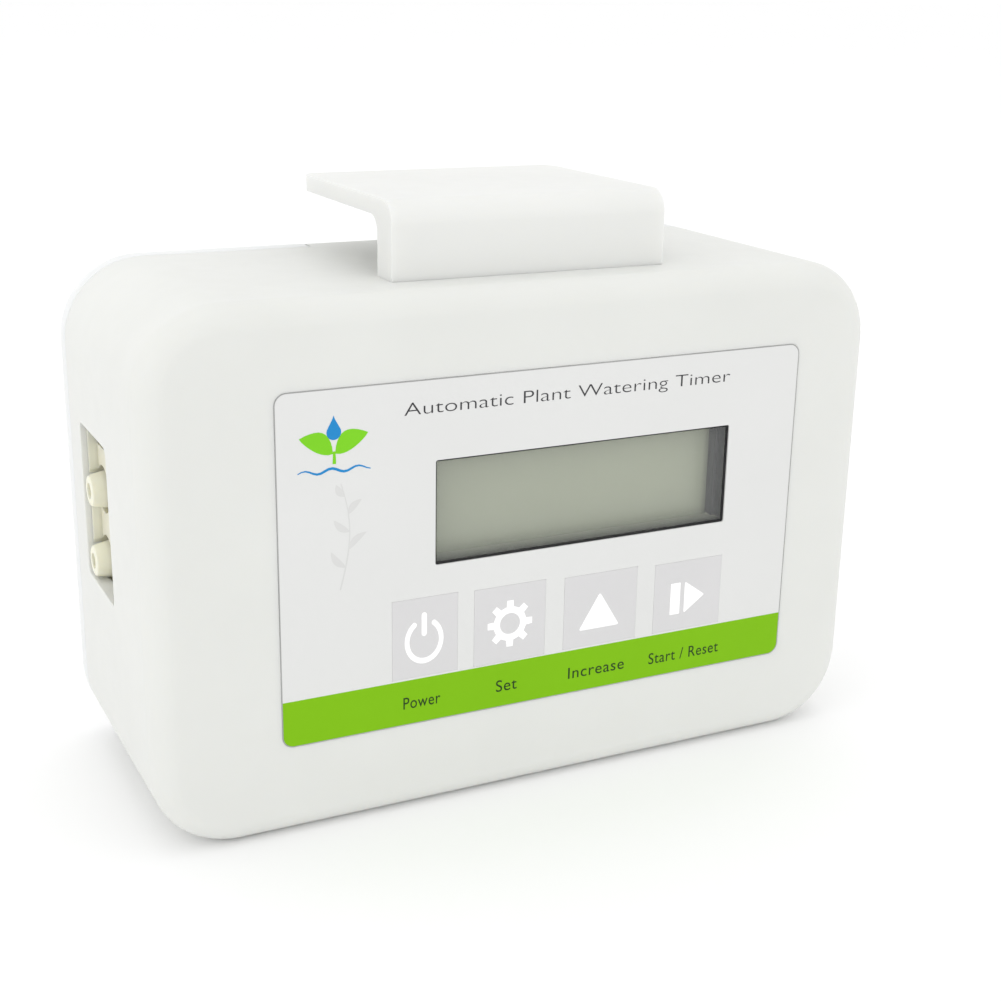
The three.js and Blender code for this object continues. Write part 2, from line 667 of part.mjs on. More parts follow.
const SHAFT_END = -27.9;
add("motor_shaft", rod("x", MOTOR.shaft, SHAFT_END, END_CAP.right + 0.6, motorAt, 12), "steel");
add("rotor_core", cut(lamination(CORE.left, CORE.right), shaftBore), "steel");
add("rotor_winding", winding(), "copper");
const segments = rod("x", COMMUTATOR.radius, COMMUTATOR.left, COMMUTATOR.right, motorAt, 18);
add("commutator", cut(segments, shaftBore), "copper");

const plugX = MOTOR_PLUG[0];
const terminalX = END_CAP.right + 2.4;
const motorLeads = [
  ["motor_lead_red", -1, "red"],
  ["motor_lead_black", 1, "black"],
];
motorLeads.forEach(([name, side, colour]) => {
  const y = PUMP.y + side * 6.7;
  const pin = plugX - side * 1.2;
  const route = [
    [terminalX - 0.4, y - 1.4, PUMP.z + 5],
    [terminalX + 3, y - 1.6, PUMP.z + 5.4],
    [pin - 2.6, -3.5 + side * 2, PUMP.z + 14],
    [pin - 0.6, BOARD_BACK + 5.6, MOTOR_PLUG[1] + 6],
    [pin, BOARD_BACK + 2.6, MOTOR_PLUG[1] + 5.4],
    [pin, BOARD_BACK + 2.15, MOTOR_PLUG[1] - 1],
  ];
  add(name, lead(route, leadRadius), colour);
});

// ---------------------------------------------------------------- diaphragm pump

const HEAD = { left: PUMP.face, right: PUMP.face + 5.4 };
const VALVES = { left: HEAD.right + 0.1, right: HEAD.right + 0.8 };
const PLATE = { left: VALVES.right + 0.1, right: VALVES.right + 1.7 };
const SKIN = { left: PLATE.right + 0.1, right: PLATE.right + 1.1 };
const BASE = { left: SKIN.right + 0.1, right: MOTOR.left - 0.1, bore: 10.9 };
const PUMP_SCREW = { circle: 11.5, degrees: [115, 245, 0], head: 1.8, shank: 0.85, hole: 1, lug: 1.9 };
const barbHeights = [-0.5, 0.5].map((n) => BARB.z + n * BARB.gap);
const pumpScrews = PUMP_SCREW.degrees.map((angle) => {
  const [point] = arc([PUMP.y, PUMP.z], PUMP_SCREW.circle, angle, angle, 1);
  return point;
});
const barbHoles = (radius) => barbHeights.map((z) => rod("x", radius, -60, SKIN.left, [0, BARB.y, z], 10));
const screwHoles = (left, right) =>
  pumpScrews.map(([y, z]) => rod("x", PUMP_SCREW.hole, left, right, [0, y, z], 10));

// The round head with a square manifold on its face. Each barb stands in a round pocket in the manifold
// that takes the end of the hose, and grows from tip to root.
function pumpHead() {
  const disc = rod("x", PUMP.radius, HEAD.left, HEAD.right, motorAt, 28);
  const manifold = box(
    [MANIFOLD.face, MANIFOLD.front, MANIFOLD.low],
    [HEAD.left + 1, MANIFOLD.back, MANIFOLD.high],
  );
  const pockets = barbHeights.map((z) =>
    rod("x", BARB.pocket, MANIFOLD.face - 1, BARB.pocketFloor, [0, BARB.y, z], 18),
  );
  const profile = [
    [BARB.tip, 0],
    [BARB.tip, BARB.tipRadius],
    [BARB.tip + BARB.taper, BARB.rootRadius],
    [BARB.pocketFloor + 0.5, BARB.rootRadius],
    [BARB.pocketFloor + 0.5, 0],
  ];
  const barbs = barbHeights.map((z) => turnedX(profile, BARB.y, z, 18));
  const body = join(cut(join(disc, manifold), ...pockets), ...barbs);
  return cut(body, ...barbHoles(BARB.bore), ...screwHoles(-60, HEAD.right + 1));
}

function pumpRing(left, right, radius) {
  return cut(rod("x", radius, left, right, motorAt, 28), ...screwHoles(left - 1, right + 1));
}

function pumpBase() {
  const cup = rod("x", PUMP.radius, BASE.left, BASE.right, motorAt, 28);
  const hollow = rod("x", BASE.bore, BASE.left - 1, BASE.right - 1.6, motorAt, 28);
  const hole = rod("x", 2.4, BASE.left, BASE.right + 1, motorAt, 12);
  const lugs = pumpScrews.map(([y, z]) => rod("x", PUMP_SCREW.lug, BASE.left, BASE.right, [0, y, z], 12));
  const body = join(cut(cup, hollow), ...lugs);
  return cut(body, hole, ...screwHoles(BASE.left - 1, BASE.right - 2));
}

// Diaphragm with three shallow cups that hang into the pump base.
function diaphragm() {
  const cups = [90, 210, 330].map((degrees) => {
    const [y, z] = arc([PUMP.y, PUMP.z], 5, degrees, degrees, 1)[0];
    return rod("x", 3, SKIN.left + 0.2, SKIN.right + 0.3, [0, y, z], 12);
  });
  return join(pumpRing(SKIN.left, SKIN.right, PUMP.radius), ...cups);
}

add("pump_head", pumpHead(), "cream");
add("valve_flaps", cut(pumpRing(VALVES.left, VALVES.right, PUMP.radius), ...barbHoles(1.2)), "rubber");
add("valve_plate", cut(pumpRing(PLATE.left, PLATE.right, PUMP.radius), ...barbHoles(1.2)), "cream");
add("diaphragm", diaphragm(), "rubber");
add("pump_base", pumpBase(), "cream");

pumpScrews.forEach(([y, z], i) => {
  const head = rod("x", PUMP_SCREW.head, HEAD.left - 1.3, HEAD.left - 0.02, [0, y, z], 14);
  const shank = rod("x", PUMP_SCREW.shank, HEAD.left - 0.8, BASE.right - 2.5, [0, y, z], 8);
  const slot = box([HEAD.left - 2, y - 0.25, z - 3], [HEAD.left - 0.8, y + 0.25, z + 3]);
  add("pump_screw_" + (i + 1), cut(join(head, shank), slot), "steel");
});

// The tilted pin and the wobble plate share a line through the pivot, tipped up from the shaft by TILT.
const tilted = new THREE.Group();
tilted.position.copy(PIVOT);
tilted.rotation.y = -TILT;
timer.add(tilted);

const PIN = { radius: 0.8, left: -0.6, right: 3.9 };
add("wobble_pin", rod("x", PIN.radius, PIN.left, PIN.right, [0, 0, 0], 10), "steel", tilted);
const swashPlate = cut(
  join(rod("x", 8.2, -0.8, 0.8, [0, 0, 0], 24), rod("x", 2.2, 0.5, 2.6, [0, 0, 0], 14)),
  rod("x", PIN.radius + 0.1, -2, 4, [0, 0, 0], 10),
);
add("wobble_plate", swashPlate, "cream", tilted);

const ECCENTRIC = { left: -29.3, right: -26, radius: 4.4 };
const pinBore = new THREE.CylinderGeometry(PIN.radius + 0.06, PIN.radius + 0.06, 10, 10);
const pinSeat = solid(
  alongAxis(pinBore, "x")
    .translate(PIN.right + 0.15 - 5, 0, 0)
    .rotateY(-TILT)
    .translate(PIVOT.x, PIVOT.y, PIVOT.z),
);
const shaftSeat = rod("x", MOTOR.shaft + 0.06, SHAFT_END - 0.15, -20, motorAt, 12);
add(
  "eccentric",
  cut(rod("x", ECCENTRIC.radius, ECCENTRIC.left, ECCENTRIC.right, motorAt, 20), pinSeat, shaftSeat),
  "black",
);

export default timer;
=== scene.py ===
import math

import bmesh
import bpy
from mathutils import Matrix, Vector


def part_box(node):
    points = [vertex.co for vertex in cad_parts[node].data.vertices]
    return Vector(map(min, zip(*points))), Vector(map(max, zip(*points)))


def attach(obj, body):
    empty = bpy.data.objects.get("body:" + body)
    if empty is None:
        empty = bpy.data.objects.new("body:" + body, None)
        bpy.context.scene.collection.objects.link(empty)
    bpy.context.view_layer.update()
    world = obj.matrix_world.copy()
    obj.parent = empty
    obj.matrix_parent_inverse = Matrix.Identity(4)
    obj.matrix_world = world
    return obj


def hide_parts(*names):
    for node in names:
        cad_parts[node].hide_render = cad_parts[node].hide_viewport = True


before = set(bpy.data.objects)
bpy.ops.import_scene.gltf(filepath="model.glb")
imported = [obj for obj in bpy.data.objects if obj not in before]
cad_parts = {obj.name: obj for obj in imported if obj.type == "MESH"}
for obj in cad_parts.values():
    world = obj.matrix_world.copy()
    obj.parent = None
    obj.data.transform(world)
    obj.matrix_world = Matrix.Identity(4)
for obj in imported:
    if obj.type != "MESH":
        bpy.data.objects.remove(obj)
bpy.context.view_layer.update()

# Lengths below are millimetres in the row frame: X right, Y back, Z up. Meshes are made in metres.
MM = 0.001


# ---------------------------------------- places and sizes taken from the frame


def span(node, axis):
    """The lowest and highest value of a CAD node along an axis, in millimetres."""
    low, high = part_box(node)
    i = "xyz".index(axis)
    return low[i] / MM, high[i] / MM


def across(node):
    return tuple(v for axis in "xyz" for v in span(node, axis))


def middle(node):
    x0, x1, y0, y1, z0, z1 = across(node)
    return (x0 + x1) / 2, (y0 + y1) / 2, (z0 + z1) / 2


HALF = span("front_case", "x")[1]
FRONT, TONGUE_BACK = span("front_case", "y")
BACK = span("rear_cover", "y")[1]
TOP = span("front_case", "z")[1]
KEY_NAMES = ("power", "set", "adjust", "start")

# The case: its round corners and edges, its walls, and the seam and lip where its halves meet.
CORNER = 11
WALL = 2
FRONT_FILLET = 3.2
REAR_FILLET = 1.4
COVER_DEPTH = 4
RIM = BACK - COVER_DEPTH
SEAM = 0.1
EASE = 0.12
LIP = {"depth": 2.5, "inset": 2.3, "wall": 1.5}

# The film lies in a shallow recess. Printed layers bite into what they lie on.
RECESS = 0.3
INK_FACE = FRONT + 0.006
BAND_FACE = FRONT + 0.018
PAD_FACE = FRONT + 0.02
FILM_FACE = FRONT + 0.03
FILM_BACK = FRONT + 0.25
BITE = 0.01

# How far a cutter reaches past the surface that it cuts, and a part into the one that it joins.
CLEAR = 1
ROOT = 0.5

# Edges sharper than this many degrees are bevelled, and stay crisp under smooth shading.
CRISP = 35


# ---------------------------------------- mesh helpers


def new_object(name, verts, faces):
    """An object from millimetre points and faces, with its faces turned outwards."""
    mesh = bpy.data.meshes.new(name)
    mesh.from_pydata([(x * MM, y * MM, z * MM) for x, y, z in verts], [], faces)
    work = bmesh.new()
    work.from_mesh(mesh)
    bmesh.ops.recalc_face_normals(work, faces=work.faces)
    work.to_mesh(mesh)
    work.free()
    obj = bpy.data.objects.new(name, mesh)
    bpy.context.scene.collection.objects.link(obj)
    return obj


def rounded(a0, a1, b0, b1, corner=0.0, steps=8):
    """A rectangle with round corners as a closed list of (a, b) points."""
    if corner <= 0:
        return [(a1, b1), (a0, b1), (a0, b0), (a1, b0)]
    inward = ((a1, b1, -1, -1), (a0, b1, 1, -1), (a0, b0, 1, 1), (a1, b0, -1, 1))
    points = []
    for quarter, (a, b, way_a, way_b) in enumerate(inward):
        middle_a, middle_b = a + way_a * corner, b + way_b * corner
        for i in range(steps + 1):
            t = (quarter + i / steps) * math.pi / 2
            points.append((middle_a + corner * math.cos(t), middle_b + corner * math.sin(t)))
    return points


def disc(a, b, radius, steps=32):
    """A circle as a closed list of (a, b) points."""
    turns = (2 * math.pi * i / steps for i in range(steps))
    return [(a + radius * math.cos(t), b + radius * math.sin(t)) for t in turns]


def arc(a, b, radius, start, end, steps=12):
    """Points of an arc between two angles in degrees."""
    angles = (math.radians(start + (end - start) * i / steps) for i in range(steps + 1))
    return [(a + radius * math.cos(t), b + radius * math.sin(t)) for t in angles]


def polar(a, b, radius, degrees):
    t = math.radians(degrees)
    return a + radius * math.cos(t), b + radius * math.sin(t)


AXIS_ORDER = {
    "x": lambda t, a, b: (t, a, b),
    "y": lambda t, a, b: (a, t, b),
    "z": lambda t, a, b: (a, b, t),
}


def loft(name, axis, sections):
    """A closed solid through outlines of the same length, each at its own place along an axis."""
    order = AXIS_ORDER[axis]
    count = len(sections[0][1])
    verts = [order(t, a, b) for t, points in sections for a, b in points]
    last = (len(sections) - 1) * count
    faces = []
    for low in range(0, last, count):
        for i in range(count):
            j = (i + 1) % count
            faces.append((low + i, low + j, low + count + j, low + count + i))
    faces += [tuple(range(count)), tuple(range(last, last + count))]
    return new_object(name, verts, faces)


def block(name, x0, x1, y0, y1, z0, z1):
    outline = rounded(x0, x1, z0, z1)
    return loft(name, "y", [(y0, outline), (y1, outline)])


def rod(name, axis, radius, start, end, a, b, steps=32):
    outline = disc(a, b, radius, steps)
    return loft(name, axis, [(start, outline), (end, outline)])


def turned(name, axis, profile, a, b, steps=40):
    """A round solid: the profile gives (place along the axis, radius) from one end to the other."""
    return loft(name, axis, [(place, disc(a, b, radius, steps)) for place, radius in profile])


def freeze(obj):
    """Applies every modifier to the mesh."""
    graph = bpy.context.evaluated_depsgraph_get()
    mesh = bpy.data.meshes.new_from_object(obj.evaluated_get(graph))
    obj.modifiers.clear()
    spent = obj.data
    obj.data = mesh
    bpy.data.meshes.remove(spent)
    mesh.name = obj.name
    return obj


def combine(obj, operation, others):
    for other in others:
        step = obj.modifiers.new("combine", "BOOLEAN")
        step.operation = operation
        step.solver = "EXACT"
        step.object = other
    freeze(obj)
    for other in others:
        bpy.data.objects.remove(other)
    return obj


def add(obj, *others):
    return combine(obj, "UNION", others)


def cut(obj, *others):
    return combine(obj, "DIFFERENCE", others)


def bevel(obj, width, segments):
    step = obj.modifiers.new("bevel", "BEVEL")
    step.width = width * MM
    step.segments = segments
    step.limit_method = "ANGLE"
    step.angle_limit = math.radians(CRISP)
    step.miter_outer = "MITER_ARC"
    return freeze(obj)


def keep_flat(obj):
    """Keeps large faces flat under smooth shading."""
    weighted = obj.modifiers.new("flat faces", "WEIGHTED_NORMAL")
    weighted.weight = 100
    return weighted


def smooth(obj, angle=CRISP):
    """Smooth shading that stays crisp at edges sharper than the angle."""
    mesh = obj.data
    mesh.polygons.foreach_set("use_smooth", [True] * len(mesh.polygons))
    mesh.set_sharp_from_angle(angle=math.radians(angle))
    keep_flat(obj).keep_sharp = True
    return obj


def case_outline(inset):
    """The case as seen from the front, drawn in by an inset."""
    return rounded(-HALF + inset, HALF - inset, inset, TOP - inset, CORNER - inset, 18)


def quarter_round(side_y, radius, direction, inset=0.0, steps=10):
    """Case sections that turn from the side into an end face, with the last one on that face."""
    sections = []
    for i in range(1, steps + 1):
        t = math.pi / 2 * i / steps
        outline = case_outline(inset + radius * (1 - math.cos(t)))
        sections.append((side_y + direction * radius * math.sin(t), outline))
    return sections


def flared_cutter(name, axis, a0, a1, b0, b1, corner, surface, inside, flare=0.15, steps=8):
    """A cutter through a wall that leaves a small chamfer where it meets the outer surface."""
    way = 1 if inside > surface else -1
    wide = rounded(a0 - flare, a1 + flare, b0 - flare, b1 + flare, corner + flare, steps)
    true = rounded(a0, a1, b0, b1, corner, steps)
    stops = [(surface - way * CLEAR, wide), (surface, wide)]
    stops += [(surface + way * flare, true), (inside, true)]
    return loft(name, axis, stops)


# ---------------------------------------- flat printed shapes

# The height of a capital as a share of the font's size.
CAP_RATIO = 0.729


def linked_curve(name, kind):
    curve = bpy.data.curves.new(name, kind)
    obj = bpy.data.objects.new(name, curve)
    bpy.context.scene.collection.objects.link(obj)
    return obj, curve


def upright(obj, face, back, x=0.0, z=0.0, scale=(1, 1), shift=0.0):
    """Turns a flat curve drawn in X and Y into a mesh that stands in X and Z.

    It fills the depth between two Y values, after a shift along X and a scale in its own plane.
    """
    name, curve = obj.name, obj.data
    curve.extrude = (back - face) / 2 * MM
    bpy.context.view_layer.update()
    graph = bpy.context.evaluated_depsgraph_get()
    mesh = bpy.data.meshes.new_from_object(obj.evaluated_get(graph))
    bpy.data.objects.remove(obj)
    bpy.data.curves.remove(curve)
    place_at = Matrix.Translation((x * MM, (face + back) / 2 * MM, z * MM))
    sized = Matrix.Diagonal((*scale, 1, 1)) @ Matrix.Translation((shift, 0, 0))
    mesh.transform(place_at @ Matrix.Rotation(math.pi / 2, 4, "X") @ sized)
    mesh.name = name
    flat = bpy.data.objects.new(name, mesh)
    bpy.context.scene.collection.objects.link(flat)
    return flat


def ink(name, loops, face, back):
    """Filled outlines, holes included, as a thin printed layer. Each loop is a list of (x, z)."""
    obj, curve = linked_curve(name, "CURVE")
    curve.dimensions = "2D"
    curve.fill_mode = "BOTH"
    for loop in loops:
        spline = curve.splines.new("POLY")
        spline.points.add(len(loop) - 1)
        for point, (x, z) in zip(spline.points, loop):
            point.co = (x * MM, z * MM, 0, 1)
        spline.use_cyclic_u = True
    return upright(obj, face, back)


def lettering(name, text, x, baseline, width, cap_height, face, back, weight, spacing):
    """A line of printed text centred on X, scaled to a width and to the height of its capitals."""
    obj, curve = linked_curve(name, "FONT")
    curve.body = text
    curve.size = 1
    curve.offset = weight
    curve.space_character = spacing
    bpy.context.view_layer.update()
    left, right = obj.bound_box[0][0], obj.bound_box[6][0]
    scale = (width * MM / (right - left), cap_height * MM / CAP_RATIO)
    return upright(obj, face, back, x, baseline, scale, -(left + right) / 2)


def leaf(x, z, length, width, degrees, bend, steps=10):
    """A pointed leaf from its stalk, along a direction."""
    blunt, wide, taper = 0.8, 1.15, 0.3
    t = math.radians(degrees)
    along, side = Vector((math.cos(t), math.sin(t))), Vector((-math.sin(t), math.cos(t)))
    loop = []
    for sign in (1, -1):
        for i in range(steps):
            u = i / steps if sign > 0 else 1 - i / steps
            swell = math.sin(math.pi * u)
            half = width / 2 * swell**blunt * (wide - taper * u)
            off_line = sign * half + bend * length * swell
            loop.append(tuple(Vector((x, z)) + along * (length * u) + side * off_line))
    return loop


def stroke(points, widths):
    """A tapering line through (x, z) points as one closed loop."""
    left, right = [], []
    for i, (x, z) in enumerate(points):
        before, after = points[max(i - 1, 0)], points[min(i + 1, len(points) - 1)]
        way = Vector((after[0] - before[0], after[1] - before[1])).normalized()
        side = Vector((-way.y, way.x)) * widths[i] / 2
        left.append((x + side.x, z + side.y))
        right.append((x - side.x, z - side.y))
    return left + right[::-1]


# ---------------------------------------- materials


def new_material(name):
    material = bpy.data.materials.new(name)
    material.use_nodes = True
    return material


def graph_of(material):
    nodes, links = material.node_tree.nodes, material.node_tree.links
    return nodes, links, nodes["Principled BSDF"]


def own_space(nodes):
    """Where each point lies in the piece's own coordinates."""
    return nodes.new("ShaderNodeTexCoord").outputs["Object"]


def own_axes(nodes, links):
    """The piece's own coordinates as three outputs, X, Y and Z."""
    parts = nodes.new("ShaderNodeSeparateXYZ")
    links.new(own_space(nodes), parts.inputs["Vector"])
    return parts.outputs


def noise(nodes, links, source, scale, detail=3.0, rough=0.5):
    made = nodes.new("ShaderNodeTexNoise")
    made.inputs["Scale"].default_value = scale
    made.inputs["Detail"].default_value = detail
    made.inputs["Roughness"].default_value = rough
    links.new(source, made.inputs["Vector"])
    return made.outputs["Fac"]


def spread(nodes, links, source, low, high, start=0.3, end=0.7):
    """Maps a source from start and end onto low and high, and no further."""
    made = nodes.new("ShaderNodeMapRange")
    made.inputs["From Min"].default_value = start
    made.inputs["From Max"].default_value = end
    made.inputs["To Min"].default_value = low
    made.inputs["To Max"].default_value = high
    links.new(source, made.inputs["Value"])
    return made.outputs["Result"]


def mix_colour(nodes, links, factor, first, second):
    made = nodes.new("ShaderNodeMix")
    made.data_type = "RGBA"
    links.new(factor, made.inputs["Factor"])
    for socket, value in (("A", first), ("B", second)):
        target = [i for i in made.inputs if i.name == socket and i.type == "RGBA"][0]
        if isinstance(value, tuple):
            target.default_value = (*value, 1)
        else:
            links.new(value, target)
    return [o for o in made.outputs if o.type == "RGBA"][0]


def lay_over(nodes, links, shader, factor, colour):
    """Lays a colour over the base colour that the shader has so far, by a factor."""
    base = shader.inputs["Base Color"]
    links.new(mix_colour(nodes, links, factor, base.links[0].from_socket, colour), base)


def roughen(nodes, links, shader, height, strength, depth):
    """Lets the surface rise and fall with a height, by a depth in millimetres."""
    bump = nodes.new("ShaderNodeBump")
    bump.inputs["Strength"].default_value = strength
    bump.inputs["Distance"].default_value = depth * MM
    links.new(height, bump.inputs["Height"])
    links.new(bump.outputs["Normal"], shader.inputs["Normal"])


def lighter(colour, amount):
    """A colour made lighter by a share of itself, or darker where the amount is negative."""
    return tuple(max(0.0, min(1.0, c * (1 + amount))) for c in colour)


def plastic(name, colour, roughness, vary, grain, depth, mottle=60, bump=0.35, **sockets):
    """Moulded or printed plastic: faint drift of tone, uneven gloss and a fine surface grain.

    `vary` is the drift of tone, `grain` and `mottle` are how fine the grain and the drift are,
    and `depth` is the depth of the grain in millimetres.
    """
    material = new_material(name)
    nodes, links, shader = graph_of(material)
    where = own_space(nodes)
    drift = spread(nodes, links, noise(nodes, links, where, mottle, 4), 0, 1)
    base = mix_colour(nodes, links, drift, lighter(colour, -vary), lighter(colour, vary))
    links.new(base, shader.inputs["Base Color"])
    gloss = noise(nodes, links, where, mottle * 5, 3)
    low, high = roughness * 0.9, min(1, roughness * 1.12)
    links.new(spread(nodes, links, gloss, low, high), shader.inputs["Roughness"])
    fine = noise(nodes, links, where, grain * 4, 2, 0.6)
    roughen(nodes, links, shader, fine, bump, depth)
    for socket, value in sockets.items():
        shader.inputs[socket.replace("_", " ")].default_value = value
    return material


def board_laminate(name):
    """Green solder mask over a grid of copper traces, with a faint glass weave."""
    material = new_material(name)
    nodes, links, shader = graph_of(material)
    where = own_space(nodes)
    traces = nodes.new("ShaderNodeTexBrick")
    for socket, value in (
        ("Scale", 1),
        ("Brick Width", 9 * MM),
        ("Row Height", 2.4 * MM),
        ("Mortar Size", 0.18 * MM),
        ("Mortar Smooth", 0.1),
        ("Color1", (0.006, 0.075, 0.025, 1)),
        ("Color2", (0.008, 0.09, 0.03, 1)),
        ("Mortar", (0.03, 0.19, 0.07, 1)),
    ):
        traces.inputs[socket].default_value = value
    turned_up = nodes.new("ShaderNodeMapping")
    turned_up.inputs["Rotation"].default_value = (math.pi / 2, 0, 0)
    links.new(where, turned_up.inputs["Vector"])
    links.new(turned_up.outputs["Vector"], traces.inputs["Vector"])
    weave = noise(nodes, links, where, 2500, 2)
    faint = spread(nodes, links, weave, 0, 0.25)
    base = mix_colour(nodes, links, faint, traces.outputs["Color"], (0.02, 0.12, 0.05))
    links.new(base, shader.inputs["Base Color"])
    links.new(spread(nodes, links, weave, 0.32, 0.5), shader.inputs["Roughness"])
    roughen(nodes, links, shader, traces.outputs["Fac"], 0.4, 0.03)
    return material


def wound_copper(name):
    """Enamelled copper with the fine ridges of the turns, darker in the grooves between them as
    painted shade.
    """
    material = new_material(name)
    nodes, links, shader = graph_of(material)
    where = own_space(nodes)
    turns = nodes.new("ShaderNodeTexWave")
    turns.wave_type = "BANDS"
    turns.bands_direction = "X"
    turns.inputs["Scale"].default_value = 1000
    turns.inputs["Distortion"].default_value = 1.2
    links.new(where, turns.inputs["Vector"])
    ridges = turns.outputs["Fac"]
    # Painted shade: the turns are darker in the grooves between them, where the bump is low.
    base = mix_colour(nodes, links, ridges, (0.28, 0.09, 0.03), (0.62, 0.27, 0.1))
    links.new(base, shader.inputs["Base Color"])
    links.new(spread(nodes, links, ridges, 0.45, 0.28, 0, 1), shader.inputs["Roughness"])
    shader.inputs["Metallic"].default_value = 1
    roughen(nodes, links, shader, ridges, 0.6, 0.05)
    return material


def moulded_nylon(name, colour, shade):
    """Cream nylon that darkens behind the case wall, where little light reaches."""
    outer, inner = -HALF + 1.6, -HALF + WALL + 0.1
    material = plastic(
        name, colour, 0.42, 0.03, 500, 0.03,
        Subsurface_Weight=0.3, Subsurface_Scale=2 * MM, Subsurface_Radius=(1, 0.9, 0.6),
    )
    nodes, links, shader = graph_of(material)
    behind = spread(nodes, links, own_axes(nodes, links)["X"], 0, 1, outer * MM, inner * MM)
    lay_over(nodes, links, shader, behind, shade)
    return material


def reflective_display(name, colour):
    """A blank grey-green display that darkens in the shade along its lower and right edges."""
    lower, right = span("display_window", "z")[0], span("display_window", "x")[1]
    shade_height, shade_width = 1.2, 1.5
    material = plastic(name, colour, 0.22, 0.012, 700, 0.001, mottle=25, bump=0.02)
    nodes, links, shader = graph_of(material)
    at = own_axes(nodes, links)
    for axis, near, far, start, end in (
        ("Z", 0.15, 0, lower, lower + shade_height),
        ("X", 0, 0.5, right - shade_width, right),
    ):
        fall = spread(nodes, links, at[axis], near, far, start * MM, end * MM)
        fall.node.interpolation_type = "SMOOTHSTEP"
        lay_over(nodes, links, shader, fall, (0.02, 0.02, 0.025))
    return material


def display_surround(name, colour, painted_reflection):
    """Black plastic whose lower inner wall takes on the tone of the display towards its deep end, a
    painted reflection of the display.
    """
    lower_wall, thickness = span("display_window", "z")[0], 0.15
    front, deep = FRONT + 0.6, span("lcd_glass", "y")[0]
    material = plastic(name, colour, 0.45, 0.1, 900, 0.02, Specular_IOR_Level=0.3)
    nodes, links, shader = graph_of(material)
    at = own_axes(nodes, links)
    wall = spread(nodes, links, at["Z"], 1, 0, lower_wall * MM, (lower_wall + thickness) * MM)
    inward = spread(nodes, links, at["Y"], 0, 1, front * MM, deep * MM)
    reflection_mask = nodes.new("ShaderNodeMath")
    reflection_mask.operation = "MULTIPLY"
    links.new(wall, reflection_mask.inputs[0])
    links.new(inward, reflection_mask.inputs[1])
    # Painted reflection: the display's tone laid over the lower inner wall, stronger towards the
    # deep end.
    lay_over(nodes, links, shader, reflection_mask.outputs["Value"], painted_reflection)
    return material


MATT = {"Specular_IOR_Level": 0.3}
MOULDED = {
    **MATT,
    "Subsurface_Weight": 0.4,
    "Subsurface_Scale": 2 * MM,
    "Subsurface_Radius": (1, 0.97, 0.88),
}

# Each plastic here has: name, colour, roughness, drift of tone, fineness and depth of its grain.
FINISHES = {
    "shell": plastic(
        "shell_plastic", (0.726, 0.733, 0.707), 0.5, 0.012, 900, 0.012, bump=0.3, **MOULDED
    ),
    "cover": plastic(
        "cover_plastic", (0.775, 0.785, 0.785), 0.52, 0.012, 900, 0.012, bump=0.3, **MOULDED
    ),
    "hook": plastic(
        "hook_plastic", (0.757, 0.762, 0.742), 0.46, 0.012, 800, 0.012, bump=0.25, **MOULDED
    ),
    "film": plastic("film_print", (0.71, 0.713, 0.704), 0.45, 0.008, 1500, 0.006, bump=0.3, **MATT),
    "key": plastic("key_print", (0.648, 0.642, 0.648), 0.45, 0.01, 1500, 0.006, bump=0.3, **MATT),
    "pane": plastic(
        "window_pane", (0.86, 0.88, 0.87), 0.06, 0.01, 200, 0.002, bump=0.1, Alpha=0.07
    ),
    "display": reflective_display("display_glass", (0.33, 0.357, 0.261)),
    # The bezel's last colour is the painted reflection of the display on its lower inner wall.
    "bezel": display_surround("bezel_plastic", (0.016, 0.016, 0.018), (0.3, 0.325, 0.24)),
    "silicone": plastic("silicone_rubber", (0.47, 0.48, 0.475), 0.62, 0.04, 500, 0.03),
    "board": board_laminate("board_laminate"),
    "black_plastic": plastic("black_plastic", (0.018, 0.018, 0.02), 0.42, 0.12, 900, 0.02),
    "steel": plastic("plated_steel", (0.56, 0.565, 0.57), 0.27, 0.06, 1200, 0.012, Metallic=1.0),
    "cream_plastic": moulded_nylon("cream_plastic", (0.83, 0.817, 0.664), (0.72, 0.7, 0.57)),
    "rubber": plastic("black_rubber", (0.025, 0.025, 0.026), 0.75, 0.15, 600, 0.05),
    "magnet": plastic("ferrite", (0.06, 0.06, 0.065), 0.6, 0.2, 1500, 0.05, Metallic=0.3),
    "copper": wound_copper("wound_copper"),
    "cell_wrap": plastic("shrink_wrap", (0.03, 0.15, 0.42), 0.32, 0.08, 250, 0.05),
    "lead_red": plastic("red_insulation", (0.5, 0.018, 0.014), 0.45, 0.06, 700, 0.02),
    "lead_black": plastic("black_insulation", (0.02, 0.02, 0.022), 0.45, 0.1, 700, 0.02),
}


def print_ink(name, colour, vary):
    return plastic(name, colour, 0.5, vary, 1500, 0.004, Specular_IOR_Level=0.12)


INKS = {
    "white": print_ink("white_ink", (1.0, 1.0, 1.0), 0.005),
    "band": print_ink("green_ink", (0.204, 0.484, 0.005), 0.015),
    "grey": print_ink("grey_ink", (0.05, 0.05, 0.054), 0.06),
    "caption": print_ink("caption_ink", (0.024, 0.055, 0.012), 0.06),
    "faint": print_ink("faint_ink", (0.65, 0.65, 0.642), 0.02),
    "leaf": print_ink("leaf_ink", (0.2, 0.6, 0.02), 0.03),
    "water": print_ink("water_ink", (0.02, 0.24, 0.56), 0.03),
    # A dark ink that paints the shade in the gap round the film.
    "gap_shade": print_ink("painted_gap_shade", (0.38, 0.38, 0.375), 0.08),
}


def dress(obj, material):
    obj.data.materials.clear()
    obj.data.materials.append(material)


def place(obj, body, slot, *replaced):
    """Gives a piece its finish and its body, and hides the CAD nodes that it stands for."""
    dress(obj, FINISHES[slot])
    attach(obj, body)
    if replaced:
        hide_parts(*replaced)


def printed(obj, body, tint):
    """Gives a printed shape its ink and the body of the piece that it is printed on."""
    dress(obj, INKS[tint])
    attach(obj, body)


# ---------------------------------------- case shell

